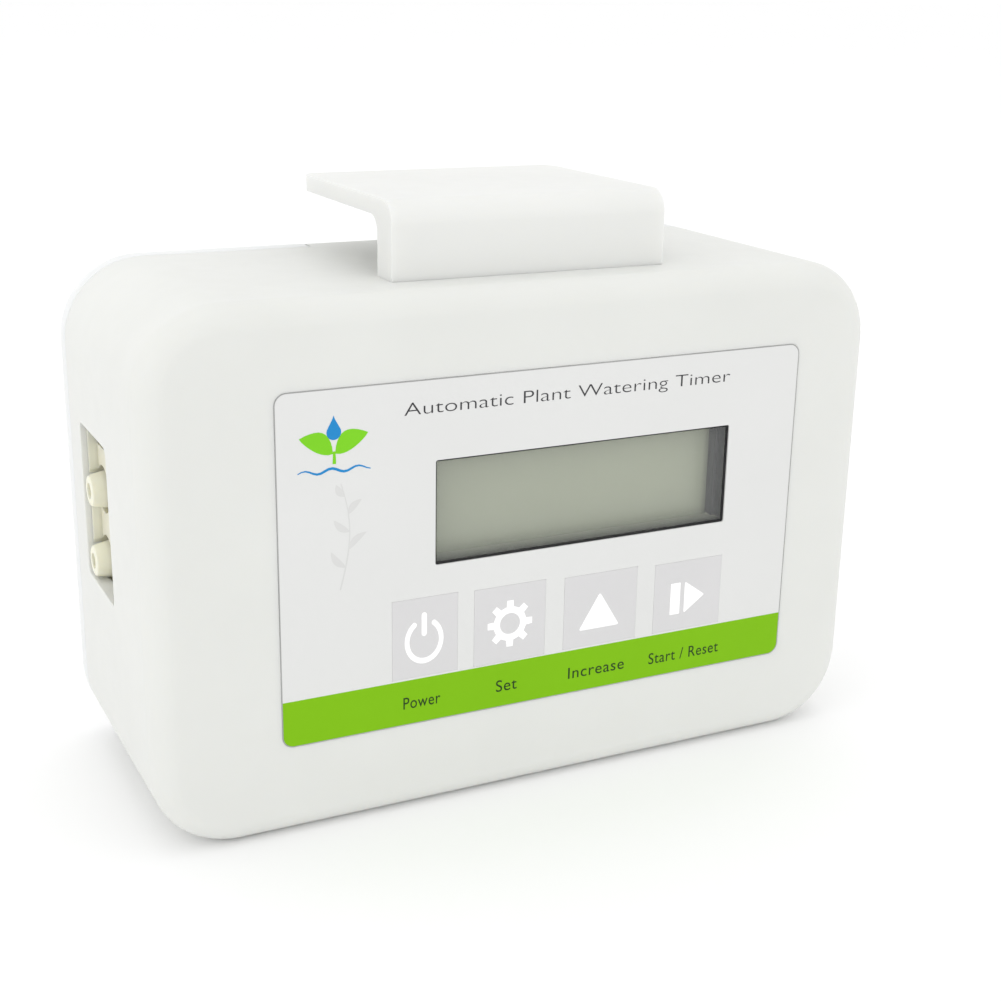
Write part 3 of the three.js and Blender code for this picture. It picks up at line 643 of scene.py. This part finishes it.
FILM_X0, FILM_X1, _, _, FILM_Z0, FILM_Z1 = across("overlay_film")
FILM_CORNER = 1.45
WINDOW_GAP = 0.1
WINDOW_X0, WINDOW_X1, _, _, WINDOW_Z0, WINDOW_Z1 = (
    v + d for v, d in zip(across("display_window"), (-WINDOW_GAP, WINDOW_GAP) * 3)
)
KEYS = {name: across(name + "_key") for name in KEY_NAMES}
HOOK_X0, HOOK_X1, HOOK_Y0, HOOK_Y1, TENON_LOW, HOOK_TOP = across("hanging_hook")
BOARD_Y0, BOARD_Y1 = span("main_board", "y")
USB = across("usb_socket")

# The opening in the left wall, in Y and Z.
PORT_Y0, PORT_Y1, PORT_Z0, PORT_Z1 = -3.7, 11.15, 28.2, 49.5

# The posts for the case's screws, with pilot holes in the shell and bores in the cover. Then the
# posts that the board rests on, with a peg or a pilot hole each.
POSTS = [(x, z) for x in (-43, 43) for z in (9.5, 60.5)]
POST_RADIUS, PILOT_RADIUS, BORE_RADIUS = 3.7, 1.3, 1.5
BOARD_POSTS = [(x, z) for x in (-34, 39.6) for z in (17.6, 53.4)]
BOARD_POST_RADIUS, PEG_RADIUS, BOARD_PILOT_RADIUS = 2.6, 1, 1

# The hook's tenon in X and Y, the places of its snaps, and the sizes of the snaps.
TENON = (-15, 19.2, -13.1, -9.1)
SNAPS_X, SNAP_WIDTH, SNAP_REACH = (-9.9, 8.1), 6, 1

# What the cover's ribs hold, the cell and then the motor. The X places of the ribs, the Y, Z and
# radius of what they hold, and the low and high Z of a rib.
CRADLES = (
    ((-22, 2, 26), 8, 12.1, 9.2, 4.2, 20.6),
    ((-18, 1), 5.2, 36.2, 12.2, 25.2, 47.2),
)
RIB_HALF, RIB_PLAY = 0.8, 0.3


def front_shell():
    """The front half of the case with its posts, openings and the recess for the film."""
    inner = FRONT + WALL
    inner_fillet = FRONT_FILLET - WALL
    side_front = FRONT + FRONT_FILLET
    rounding = quarter_round(inner + inner_fillet, inner_fillet, -1, WALL, 6)
    sections = rounding[::-1] + [(inner + inner_fillet, case_outline(WALL))]
    sections += [(RIM, case_outline(WALL)), (RIM, case_outline(EASE))]
    sections += [(RIM - EASE, case_outline(0)), (side_front, case_outline(0))]
    sections += quarter_round(side_front, FRONT_FILLET, -1, 0, 14)
    shell = loft("case_shell", "y", sections)

    foot, post_end, board_rest = inner - ROOT, RIM - 0.3, BOARD_Y0 - 0.05
    peg_root, peg_end = BOARD_Y0 - 1, BOARD_Y1 + 0.6
    posts = [rod("post", "y", POST_RADIUS, foot, post_end, *spot) for spot in POSTS]
    posts += [
        rod("post", "y", BOARD_POST_RADIUS, foot, board_rest, *spot, 24) for spot in BOARD_POSTS
    ]
    posts += [
        rod("peg", "y", PEG_RADIUS, peg_root, peg_end, *spot, 20) for spot in BOARD_POSTS[::2]
    ]
    play = 0.35
    tongue = block("tongue", HOOK_X0 + play, HOOK_X1 - play, RIM - 1, TONGUE_BACK, TOP - WALL, TOP)
    add(shell, *posts, tongue)

    gap = 0.15
    seat = flared_cutter(
        "seat", "y", FILM_X0 - gap, FILM_X1 + gap, FILM_Z0 - gap, FILM_Z1 + gap,
        corner=FILM_CORNER + gap, surface=FRONT, inside=FRONT + RECESS, flare=0.05, steps=12,
    )
    through = (FRONT - CLEAR, inner + CLEAR)
    wide = 1
    hole = block(
        "hole", WINDOW_X0 - wide, WINDOW_X1 + wide, *through, WINDOW_Z0 - wide, WINDOW_Z1 + wide
    )
    wells = [
        block("well", x0 - gap, x1 + gap, *through, z0 - gap, z1 + gap)
        for x0, x1, _, _, z0, z1 in KEYS.values()
    ]
    port = flared_cutter(
        "port", "x", PORT_Y0, PORT_Y1, PORT_Z0, PORT_Z1,
        corner=1.1, surface=-HALF, inside=-HALF + WALL + CLEAR, flare=0.12,
    )
    _, _, y0, y1, z0, z1 = USB
    rim = 0.4
    socket = flared_cutter(
        "socket", "x", y0 - rim, y1 + rim, z0 - rim, z1 + rim,
        corner=1.95, surface=HALF, inside=HALF - WALL - CLEAR,
    )
    x0, x1, y0, y1 = TENON
    play = 0.2
    slot = block(
        "slot", x0 - play, x1 + play, y0 - play, y1 + play, TOP - WALL - CLEAR, TOP + CLEAR
    )
    floor, board_floor, board_past = 2, FRONT + 3, 0
    pilots = [rod("pilot", "y", PILOT_RADIUS, floor, RIM + CLEAR, *spot, 20) for spot in POSTS]
    pilots += [
        rod("pilot", "y", BOARD_PILOT_RADIUS, board_floor, board_past, *spot, 16)
        for spot in BOARD_POSTS[1::2]
    ]
    cut(shell, seat, hole, *wells, port, socket, slot, *pilots)
    return smooth(shell)


def rear_lid():
    """The cover with its lip, screw sleeves and the ribs that hold the cell and the motor."""
    floor = BACK - WALL
    ring = LIP["inset"] + LIP["wall"]
    lip_end = RIM - LIP["depth"]
    face = RIM + SEAM
    side_back = BACK - REAR_FILLET
    sections = [
        (floor, case_outline(ring)),
        (lip_end, case_outline(ring)),
        (lip_end, case_outline(LIP["inset"])),
        (face, case_outline(LIP["inset"])),
        (face, case_outline(EASE)),
        (face + EASE, case_outline(0)),
        (side_back, case_outline(0)),
    ]
    lid = loft("rear_lid", "y", sections + quarter_round(side_back, REAR_FILLET, 1, 0, 10))

    parts = [rod("sleeve", "y", POST_RADIUS, RIM, BACK - 1, *spot) for spot in POSTS]
    for places, y, z, radius, low, high in CRADLES:
        for x in places:
            rib = block("rib", x - RIB_HALF, x + RIB_HALF, y + 2, floor + ROOT, low, high)
            held = rod("held", "x", radius + RIB_PLAY, x - 2, x + 2, y, z, 48)
            parts.append(cut(rib, held))
    add(lid, *parts)

    behind, below = 0.9, 0.3
    notch = block(
        "notch", HOOK_X0, HOOK_X1, RIM - CLEAR, TONGUE_BACK + behind, TOP - WALL - below, TOP + CLEAR
    )
    bores = [rod("bore", "y", BORE_RADIUS, 0, BACK + CLEAR, *spot, 20) for spot in POSTS]
    deep, radius, flare = 2.4, 2.8, 0.25
    profile = [(BACK - deep, radius), (BACK - flare, radius)]
    profile += [(BACK, radius + flare), (BACK + CLEAR, radius + flare)]
    sinks = [turned("sink", "y", profile, *spot) for spot in POSTS]
    cut(lid, notch, *bores, *sinks)
    return smooth(lid)


def hanger():
    """The bracket on top of the case, with the tenon and snaps that hold it in its slot."""
    plate, flange = 4.8, 2.3
    inner_corner, nose, outer_corner, plan_corner = 2.2, 1.1, 3, 4
    under, nose_z = HOOK_TOP - flange, HOOK_TOP - flange / 2 - 0.05
    profile = [(HOOK_Y0, TOP), (HOOK_Y0 + plate, TOP)]
    profile += arc(HOOK_Y0 + plate + inner_corner, under - inner_corner, inner_corner, 180, 90)
    profile += arc(HOOK_Y1 - nose, nose_z, nose, -90, 90, 10)
    profile += arc(HOOK_Y0 + outer_corner, HOOK_TOP - outer_corner, outer_corner, 90, 180)
    bracket = loft("hook_bracket", "x", [(HOOK_X0, profile), (HOOK_X1, profile)])
    plan = [(HOOK_X0, HOOK_Y0 - CLEAR), (HOOK_X1, HOOK_Y0 - CLEAR)]
    plan += arc(HOOK_X1 - plan_corner, HOOK_Y1 - plan_corner, plan_corner, 0, 90)
    plan += arc(HOOK_X0 + plan_corner, HOOK_Y1 - plan_corner, plan_corner, 90, 180)
    rounded_plan = loft("plan", "z", [(TOP - CLEAR, plan), (HOOK_TOP + CLEAR, plan)])
    combine(bracket, "INTERSECT", [rounded_plan])
    bevel(bracket, 0.9, 5)

    tenon = block("tenon", *TENON, TENON_LOW, TOP + 1.5)
    face, catch = TENON[3], TOP - WALL - 0.3
    root, reach = face - ROOT, face + SNAP_REACH
    wedge = [(root, TENON_LOW), (face, TENON_LOW), (reach, catch), (root, catch)]
    snaps = [loft("snap", "x", [(x, wedge), (x + SNAP_WIDTH, wedge)]) for x in SNAPS_X]
    add(bracket, tenon, *snaps)
    return smooth(bracket)


place(front_shell(), "case", "shell", "front_case")
place(rear_lid(), "case", "cover", "rear_cover")
place(hanger(), "case", "hook", "hanging_hook")


# ---------------------------------------- keypad film and what is printed on it

# The green band's upper edge, and the height of the capitals in all the lines of text.
BAND_TOP = 18.9
CAP_HEIGHT = 1.75

# Each caption has: name, text, middle in X, baseline, width.
CAPTIONS = (
    ("caption_power", "Power", -16.7, 14.85, 5.3),
    ("caption_set", "Set", -4.25, 14.8, 3.15),
    ("caption_increase", "Increase", 9.7, 14.7, 8.9),
    ("caption_start", "Start / Reset", 24.05, 14.55, 11.7),
)

# Each leaf of the sprig has: its point on the stem, the way it points in degrees, its length.
SPRIG_LEAVES = ((5, 130, 3.0), (9, 40, 3.2), (13, 140, 2.7), (17, 45, 2.5), (21, 125, 2.0))


def film_outline(grow, corner):
    return rounded(FILM_X0 - grow, FILM_X1 + grow, FILM_Z0 - grow, FILM_Z1 + grow, corner, 12)


def film_sheet():
    """The printed sheet with its window and the openings for the four keys."""
    outline = film_outline(0, FILM_CORNER)
    sheet = loft("keypad_film", "y", [(FILM_FACE, outline), (FILM_BACK, outline)])
    reveal, gap = 0.25, 0.12
    through = (FRONT - CLEAR, FRONT + CLEAR)
    window = rounded(
        WINDOW_X0 - reveal, WINDOW_X1 + reveal, WINDOW_Z0 - reveal, WINDOW_Z1 + reveal, 0.3, 4
    )
    opening = loft("opening", "y", [(y, window) for y in through])
    zones = [
        block("zone", x0 - gap, x1 + gap, *through, z0 - gap, z1 + gap)
        for x0, x1, _, _, z0, z1 in KEYS.values()
    ]
    return smooth(cut(sheet, opening, *zones))


def edge_line():
    """A dark line in the gap round the film: painted shade of the gap."""
    wide, thin = 0.13, 0.01
    loops = [film_outline(wide, FILM_CORNER + wide), film_outline(thin, FILM_CORNER)]
    return ink("film_edge_line", loops, FILM_FACE, FILM_BACK)


def green_band():
    """The film's lower part, from its round corners up to the band's straight upper edge."""
    corner = FILM_CORNER
    outline = [(FILM_X1, BAND_TOP), (FILM_X0, BAND_TOP)]
    outline += arc(FILM_X0 + corner, FILM_Z0 + corner, corner, 180, 270)
    outline += arc(FILM_X1 - corner, FILM_Z0 + corner, corner, 270, 360)
    return ink("green_band", [outline], BAND_FACE, FILM_FACE + 2 * BITE)


def captions():
    for name, text, x, low, width in CAPTIONS:
        line = lettering(
            name, text, x, low, width, CAP_HEIGHT, INK_FACE, BAND_FACE + BITE,
            weight=0.002, spacing=1.08,
        )
        printed(line, "case", "caption")


def title():
    text = "Automatic Plant Watering Timer"
    return lettering(
        "title_line", text, 4.95, 54.7, 48.2, CAP_HEIGHT, INK_FACE + 0.006, FILM_FACE + BITE,
        weight=-0.014, spacing=1.0,
    )


def on_film(name, loop, tint, behind=0.004):
    """Prints a shape on the film, its face this far behind the frontmost ink."""
    printed(ink(name, loop, INK_FACE + behind, FILM_FACE + BITE), "case", tint)


def drop(x, z, radius):
    """A water drop that stands on its round end."""
    neck, neck_z, tip_z = 0.18 * radius, z + 1.75 * radius, z + 2.25 * radius
    return arc(x, z, radius, 150, 390, 24) + [(x + neck, neck_z), (x, tip_z), (x - neck, neck_z)]


def emblem():
    """Two leaves on a stalk, with a drop above and a line of water below."""
    low, length, width, bend = 50.9, 4.9, 2.5, 0.12
    leaves = [leaf(-28.6, low, length, width, 152, -bend), leaf(-28.3, low, length, width, 28, bend)]
    stalk = stroke([(-28.45, 49.6), (-28.42, 50.3), (-28.45, 51.2)], [0.45, 0.4, 0.3])
    on_film("emblem_leaves", leaves, "leaf")
    on_film("emblem_stalk", [stalk], "leaf")
    on_film("emblem_drop", [drop(-28.45, 53.6, 0.95)], "water")
    count, step = 20, 0.5
    wave = [(-33.2 + step * i, 48.8 + 0.28 * math.sin(0.9 * i)) for i in range(count)]
    widths = [0.12 + 0.22 * math.sin(math.pi * i / (count - 1)) for i in range(count)]
    on_film("emblem_wave", [stroke(wave, widths)], "water")


def sprig():
    """A faint stem with leaves on both sides."""
    steps = 24
    shares = [i / steps for i in range(steps + 1)]
    stem = [(-27.9 + 1.7 * math.sin(2.6 * u) - 0.6 * u, 33.0 + 14.0 * u) for u in shares]
    on_film("sprig_stem", [stroke(stem, [0.2 - 0.12 * u for u in shares])], "faint")
    for n, (at, degrees, length) in enumerate(SPRIG_LEAVES, 1):
        on_film(f"sprig_leaf_{n}", [leaf(*stem[at], length, 0.9, degrees, 0.1)], "faint", 0.01)


place(film_sheet(), "case", "film", "overlay_film")
# The dark line round the film is painted shade of its gap.
printed(edge_line(), "case", "gap_shade")
printed(green_band(), "case", "band")
captions()
printed(title(), "case", "grey")
emblem()
sprig()


# ---------------------------------------- keys


def power_icon(x, z):
    """A ring that is open at the top, with round ends, and a bar in the opening."""
    gap, outer, inner = 35, 3.1, 2.35
    narrow, tall = 0.89, 1.04
    at_x, at_z = x - 0.15, z - 0.5
    cap = (outer - inner) / 2
    first, last = (polar(0, 0, (outer + inner) / 2, a) for a in (90 - gap, 90 + gap))
    ring = arc(0, 0, outer, 90 + gap, 450 - gap, 48) + arc(*first, cap, 90 - gap, 270 - gap, 8)
    ring += arc(0, 0, inner, 450 - gap, 90 + gap, 48) + arc(*last, cap, 270 + gap, 450 + gap, 8)
    bar = rounded(-0.42, 0.42, 0.6, 3.8, 0.41, 6)
    return {
        part: [[(at_x + narrow * a, at_z + tall * b) for a, b in loop]]
        for part, loop in (("ring", ring), ("bar", bar))
    }


def gear_icon(x, z):
    teeth, outer, body, hole = 8, 3.35, 2.45, 1.5
    z -= 0.05
    tooth = ((-16, body), (-12.5, body), (-8, outer), (8, outer), (12.5, body), (16, body))
    rim = [
        polar(x, z, radius, 90 + 360 / teeth * n + offset)
        for n in range(teeth)
        for offset, radius in tooth
    ]
    return {"gear": [rim, disc(x, z, hole, 36)]}


def soft_corners(points, radius, steps=5):
    """Rounds the corners of a convex outline that is given anticlockwise."""
    loop = []
    count = len(points)
    for i in range(count):
        corner = Vector(points[i])
        before = (Vector(points[i - 1]) - corner).normalized()
        after = (Vector(points[(i + 1) % count]) - corner).normalized()
        reach = radius / math.tan(before.angle(after) / 2)
        start, end = corner + before * reach, corner + after * reach
        for k in range(steps + 1):
            u = k / steps
            loop.append(tuple(start * (1 - u) ** 2 + corner * 2 * u * (1 - u) + end * u**2))
    return loop


def triangle_icon(x, z):
    x, z = x - 0.15, z - 0.4
    half, low, high = 3.2, z - 2.45, z + 2.75
    return {"triangle": [soft_corners([(x - half, low), (x + half, low), (x, high)], 0.25)]}


def play_icon(x, z):
    z -= 0.4
    left, right, half = x - 2.8, x - 1.2, 2.35
    bar = [(left, z - half), (right, z - half), (right, z + half), (left, z + half)]
    arrow = [(x - 0.5, z - 2.4), (x + 2.85, z), (x - 0.5, z + 2.4)]
    return {"bar": [soft_corners(bar, 0.12)], "arrow": [soft_corners(arrow, 0.2)]}


def key_pads():
    grow = 0.1
    icons = {"power": power_icon, "set": gear_icon, "adjust": triangle_icon, "start": play_icon}
    for name, (x0, x1, _, _, z0, z1) in KEYS.items():
        body = name + "_button"
        outline = rounded(x0 - grow, x1 + grow, z0 - grow, z1 + grow, 0.12, 3)
        pad = loft(name + "_pad", "y", [(PAD_FACE, outline), (FILM_BACK, outline)])
        place(smooth(pad), body, "key", name + "_key")
        for part, loops in icons[name]((x0 + x1) / 2, (z0 + z1) / 2).items():
            drawn = ink(f"{name}_icon_{part}", loops, INK_FACE, PAD_FACE + BITE)
            printed(drawn, body, "white")


key_pads()


# ---------------------------------------- display bezel


def display_bezel():
    """A black frame behind the window, with a bed for the display and a ledge at its right."""
    _, _, front, rear, _, _ = across("lcd_frame")
    gx0, gx1, bed_front, _, gz0, gz1 = across("lcd_glass")
    bed_front -= 0.05
    rim, skirt, play = 0.8, 0.9, 0.15
    ledge, ledge_y = 0.5, FRONT + 2.1
    surround = block(
        "display_bezel", WINDOW_X0 - rim, WINDOW_X1 + rim, front, bed_front,
        WINDOW_Z0 - rim, WINDOW_Z1 + rim,
    )
    rear_part = block(
        "skirt", gx0 - skirt, gx1 + skirt, FRONT + WALL + 0.1, rear, gz0 - skirt, gz1 + skirt
    )
    add(surround, rear_part)
    past = rear + CLEAR
    bed = block("bed", gx0 - play, gx1 + play, bed_front, past, gz0 - play, gz1 + play)
    wide = block("wide", WINDOW_X0, WINDOW_X1, FRONT - CLEAR, ledge_y, WINDOW_Z0, WINDOW_Z1)
    sight = block("sight", WINDOW_X0, WINDOW_X1 - ledge, FRONT - CLEAR, past, WINDOW_Z0, WINDOW_Z1)
    cut(surround, bed, wide, sight)
    bevel(surround, 0.06, 2)
    return smooth(surround)


place(display_bezel(), "case", "bezel", "lcd_frame")


# ---------------------------------------- screws

# Each kind has: name, how many, axis, the way its heads look, radius and height of the head,
# radius of the shank, depth of the cross.
SCREWS = (
    ("case_screw", 4, "y", 1, 2.4, 1.6, 1.2, 1.1),
    ("board_screw", 2, "y", 1, 2, 1.48, 0.9, 0.9),
    ("pump_screw", 3, "x", -1, 1.8, 1.28, 0.85, 0.8),
)


def screw(name, axis, way, head, dome, a, b, top, tip, shank, recess):
    """A cross-recess screw from its tip to the top of its domed head, which looks along `way`."""
    base = top - way * dome
    point, taper, under = 0.35, 1.2, 0.98
    profile = [(tip, shank * point), (tip + way * shank * taper, shank), (base, shank)]
    profile.append((base, head * under))
    side, flat, steps = 0.35, 0.12, 8
    for i in range(steps + 1):
        t = math.pi / 2 * i / steps
        height = base + way * dome * (side + (1 - side) * math.sin(t))
        profile.append((height, head * (flat + (1 - flat) * math.cos(t))))
    made = turned(name, axis, profile, a, b, 36)
    floor, above = (top - way * recess, 0.3, 0.12), (top + way * 0.5, 0.72, 0.2)
    arms = []
    for along_a in (True, False):
        stops = []
        for at, long, wide in (floor, above):
            half_a, half_b = (head * long, head * wide) if along_a else (head * wide, head * long)
            stops.append((at, rounded(a - half_a, a + half_a, b - half_b, b + half_b)))
        arms.append(loft("arm", axis, stops))
    cut(made, *arms)
    return smooth(made, 40)


def screws():
    for kind, count, axis, way, head, dome, shank, recess in SCREWS:
        for n in range(1, count + 1):
            node = f"{kind}_{n}"
            x, y, z = middle(node)
            tip, top = span(node, axis)[::way]
            a = x if axis == "y" else y
            made = screw(node + "_domed", axis, way, head, dome, a, z, top, tip, shank, recess)
            place(made, "case", "steel", node)


screws()


# ---------------------------------------- pump head with its two barbs

PUMP_FACE, PUMP_RADIUS, PUMP_RIM = -44, 13.4, 0.6
MANIFOLD_FACE = -50.4
MANIFOLD = (3.2, 13.9, 24.6, 46.4)
POCKET_FLOOR, POCKET_RADIUS = -47.4, 3.3
BARB_SPOTS = [(8.2, 35.65 + side * 4.95) for side in (-1, 1)]
BARB_TIP, BARB_ROOT, BARB_LENGTH, BARB_BORE = 2.15, 2.85, 3.85, 1.1
SCREW_ANGLES, SCREW_CIRCLE, SCREW_HOLE = (115, 245, 0), 11.5, 1

# A place on X well outside the case's left wall, from which cutters reach in.
OUTSIDE = -60


def pump_front():
    """The round head, the manifold on its face, a lip, and two barbs in their pockets."""
    tip, head_back = span("pump_head", "x")
    _, y, z = middle("motor_shaft")
    outline = [(PUMP_FACE, PUMP_RADIUS - PUMP_RIM), (PUMP_FACE + PUMP_RIM, PUMP_RADIUS)]
    outline.append((head_back, PUMP_RADIUS))
    head = turned("pump_head_moulded", "x", outline, y, z, 72)
    manifold = block("manifold", MANIFOLD_FACE, PUMP_FACE + 1, *MANIFOLD)
    in_wall, front_gap, back_gap, end_gap = 0.9, 0.55, 0.1, 1.2
    lip = block(
        "lip", -HALF + in_wall, MANIFOLD_FACE + 1, PORT_Y1 - front_gap, PORT_Y1 - back_gap,
        PORT_Z0 + end_gap, PORT_Z1 - end_gap,
    )
    add(head, manifold, lip)
    pockets = [
        rod("pocket", "x", POCKET_RADIUS, OUTSIDE, POCKET_FLOOR, *at, 40) for at in BARB_SPOTS
    ]
    cut(head, *pockets)

    root = tip + BARB_LENGTH
    profile = [(tip, BARB_TIP - 0.35), (tip + 0.1, BARB_TIP - 0.12), (tip + 0.35, BARB_TIP)]
    profile += [(root - 0.2, BARB_ROOT - 0.04), (root, BARB_ROOT), (POCKET_FLOOR + ROOT, BARB_ROOT)]
    add(head, *[turned("barb", "x", profile, *at, 40) for at in BARB_SPOTS])
    past = head_back + CLEAR
    bores = [rod("bore", "x", BARB_BORE, OUTSIDE, past, *at, 24) for at in BARB_SPOTS]
    holes = [
        rod("hole", "x", SCREW_HOLE, OUTSIDE, past, *polar(y, z, SCREW_CIRCLE, degrees), 20)
        for degrees in SCREW_ANGLES
    ]
    cut(head, *bores, *holes)
    return smooth(head)


place(pump_front(), "case", "cream_plastic", "pump_head")


# ---------------------------------------- charging socket


def charging_socket():
    """A rounded steel can, open at its mouth, with a tongue inside."""
    inner, mouth, y0, y1, z0, z1 = USB
    wall, half_tongue, sunk, end_gap = 0.35, 0.35, 0.8, 1.2
    y, corner = (y0 + y1) / 2, (y1 - y0) / 2 - 0.01
    outline = rounded(y0, y1, z0, z1, corner, 10)
    can = loft("charging_socket", "x", [(inner, outline), (mouth, outline)])
    hollow = rounded(y0 + wall, y1 - wall, z0 + wall, z1 - wall, corner - wall, 10)
    cut(can, loft("hollow", "x", [(inner + 1, hollow), (mouth + CLEAR, hollow)]))
    tongue = block(
        "tongue", inner + ROOT, mouth - sunk, y - half_tongue, y + half_tongue,
        z0 + end_gap, z1 - end_gap,
    )
    add(can, tongue)
    return smooth(bevel(can, 0.08, 2))


place(charging_socket(), "case", "steel", "usb_socket")


# ---------------------------------------- CAD nodes that keep their own shape


def finish_nodes():
    """Gives the nodes still shown their finish, and all but the clear ones softer edges."""
    for name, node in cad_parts.items():
        if node.hide_render:
            continue
        slot = node.data.materials[0].name
        node.data.materials[0] = FINISHES[slot]
        if name in ("lcd_glass", "display_window"):
            continue
        weld = node.modifiers.new("weld", "WELD")
        weld.merge_threshold = 0.002 * MM
        eased = node.modifiers.new("eased edges", "BEVEL")
        eased.width = 0.12 * MM
        eased.segments = 2
        eased.limit_method = "ANGLE"
        eased.angle_limit = math.radians(48)
        node.data.polygons.foreach_set("use_smooth", [True] * len(node.data.polygons))
        keep_flat(node)


finish_nodes()


# ---------------------------------------- floor, light and camera

# The middle of the case, which the lamps and the camera look at.
CENTRE = Vector((0, 0, 35 * MM))

WORLD_STRENGTH = 1.05

# Each lamp has: name, place in metres, size in metres, power in watts.
LAMPS = (
    ("key_light", (-0.95, -0.2, 0.45), 0.7, 0.85),
    ("top_light", (0.1, 0.05, 1.2), 0.9, 0.9),
    ("front_light", (-0.25, -1.1, 0.3), 1.0, 1.0),
    ("rear_light", (-0.08, 1.0, 0.17), 0.7, 0.5),
)


def studio():
    scene = bpy.context.scene
    scene.view_settings.view_transform = "Standard"
    scene.view_settings.look = "None"
    world = bpy.data.worlds.new("studio")
    scene.world = world
    world.use_nodes = True
    background = world.node_tree.nodes["Background"]
    background.inputs["Color"].default_value = (1, 1, 1, 1)
    background.inputs["Strength"].default_value = WORLD_STRENGTH

    half, below = 40.0, 0.02
    corners = [(-half, -half, 0), (half, -half, 0), (half, half, 0), (-half, half, 0)]
    mesh = bpy.data.meshes.new("floor")
    mesh.from_pydata(corners, [], [(0, 1, 2, 3)])
    floor = bpy.data.objects.new("floor", mesh)
    floor.location.z = -below * MM
    scene.collection.objects.link(floor)
    paper = (0.95, 0.95, 0.95)
    dress(floor, plastic("floor_paper", paper, 0.9, 0.002, 40, 0.01, mottle=2, bump=0.02))

    for name, at, size, watts in LAMPS:
        lamp = bpy.data.lights.new(name, "AREA")
        lamp.shape = "DISK"
        lamp.size = size
        lamp.energy = watts
        light = bpy.data.objects.new(name, lamp)
        light.location = at
        light.rotation_mode = "QUATERNION"
        light.rotation_quaternion = (CENTRE - Vector(at)).to_track_quat("-Z", "Y")
        scene.collection.objects.link(light)


def camera():
    """The camera to the left of the front and above it, turned a little about its own axis."""
    azimuth, elevation, roll = (math.radians(v) for v in (-26.57, 17.98, 1.05))
    distance, shift_x, shift_z = 228.18 * MM, -4.33 * MM, -0.01 * MM
    level = math.cos(elevation)
    back = Vector((math.sin(azimuth) * level, -math.cos(azimuth) * level, math.sin(elevation)))
    right = (-back).cross(Vector((0, 0, 1))).normalized()
    up = right.cross(-back)
    right, up = (
        math.cos(roll) * right + math.sin(roll) * up,
        math.cos(roll) * up - math.sin(roll) * right,
    )
    data = bpy.data.cameras.new("camera")
    data.lens = 57.01
    data.sensor_width = 36
    data.clip_start = 0.01
    data.clip_end = 20
    obj = bpy.data.objects.new("camera", data)
    matrix = Matrix((right, up, back)).transposed().to_4x4()
    matrix.translation = CENTRE + back * distance - right * shift_x - up * shift_z
    obj.matrix_world = matrix
    bpy.context.scene.collection.objects.link(obj)
    bpy.context.scene.camera = obj


studio()
camera()
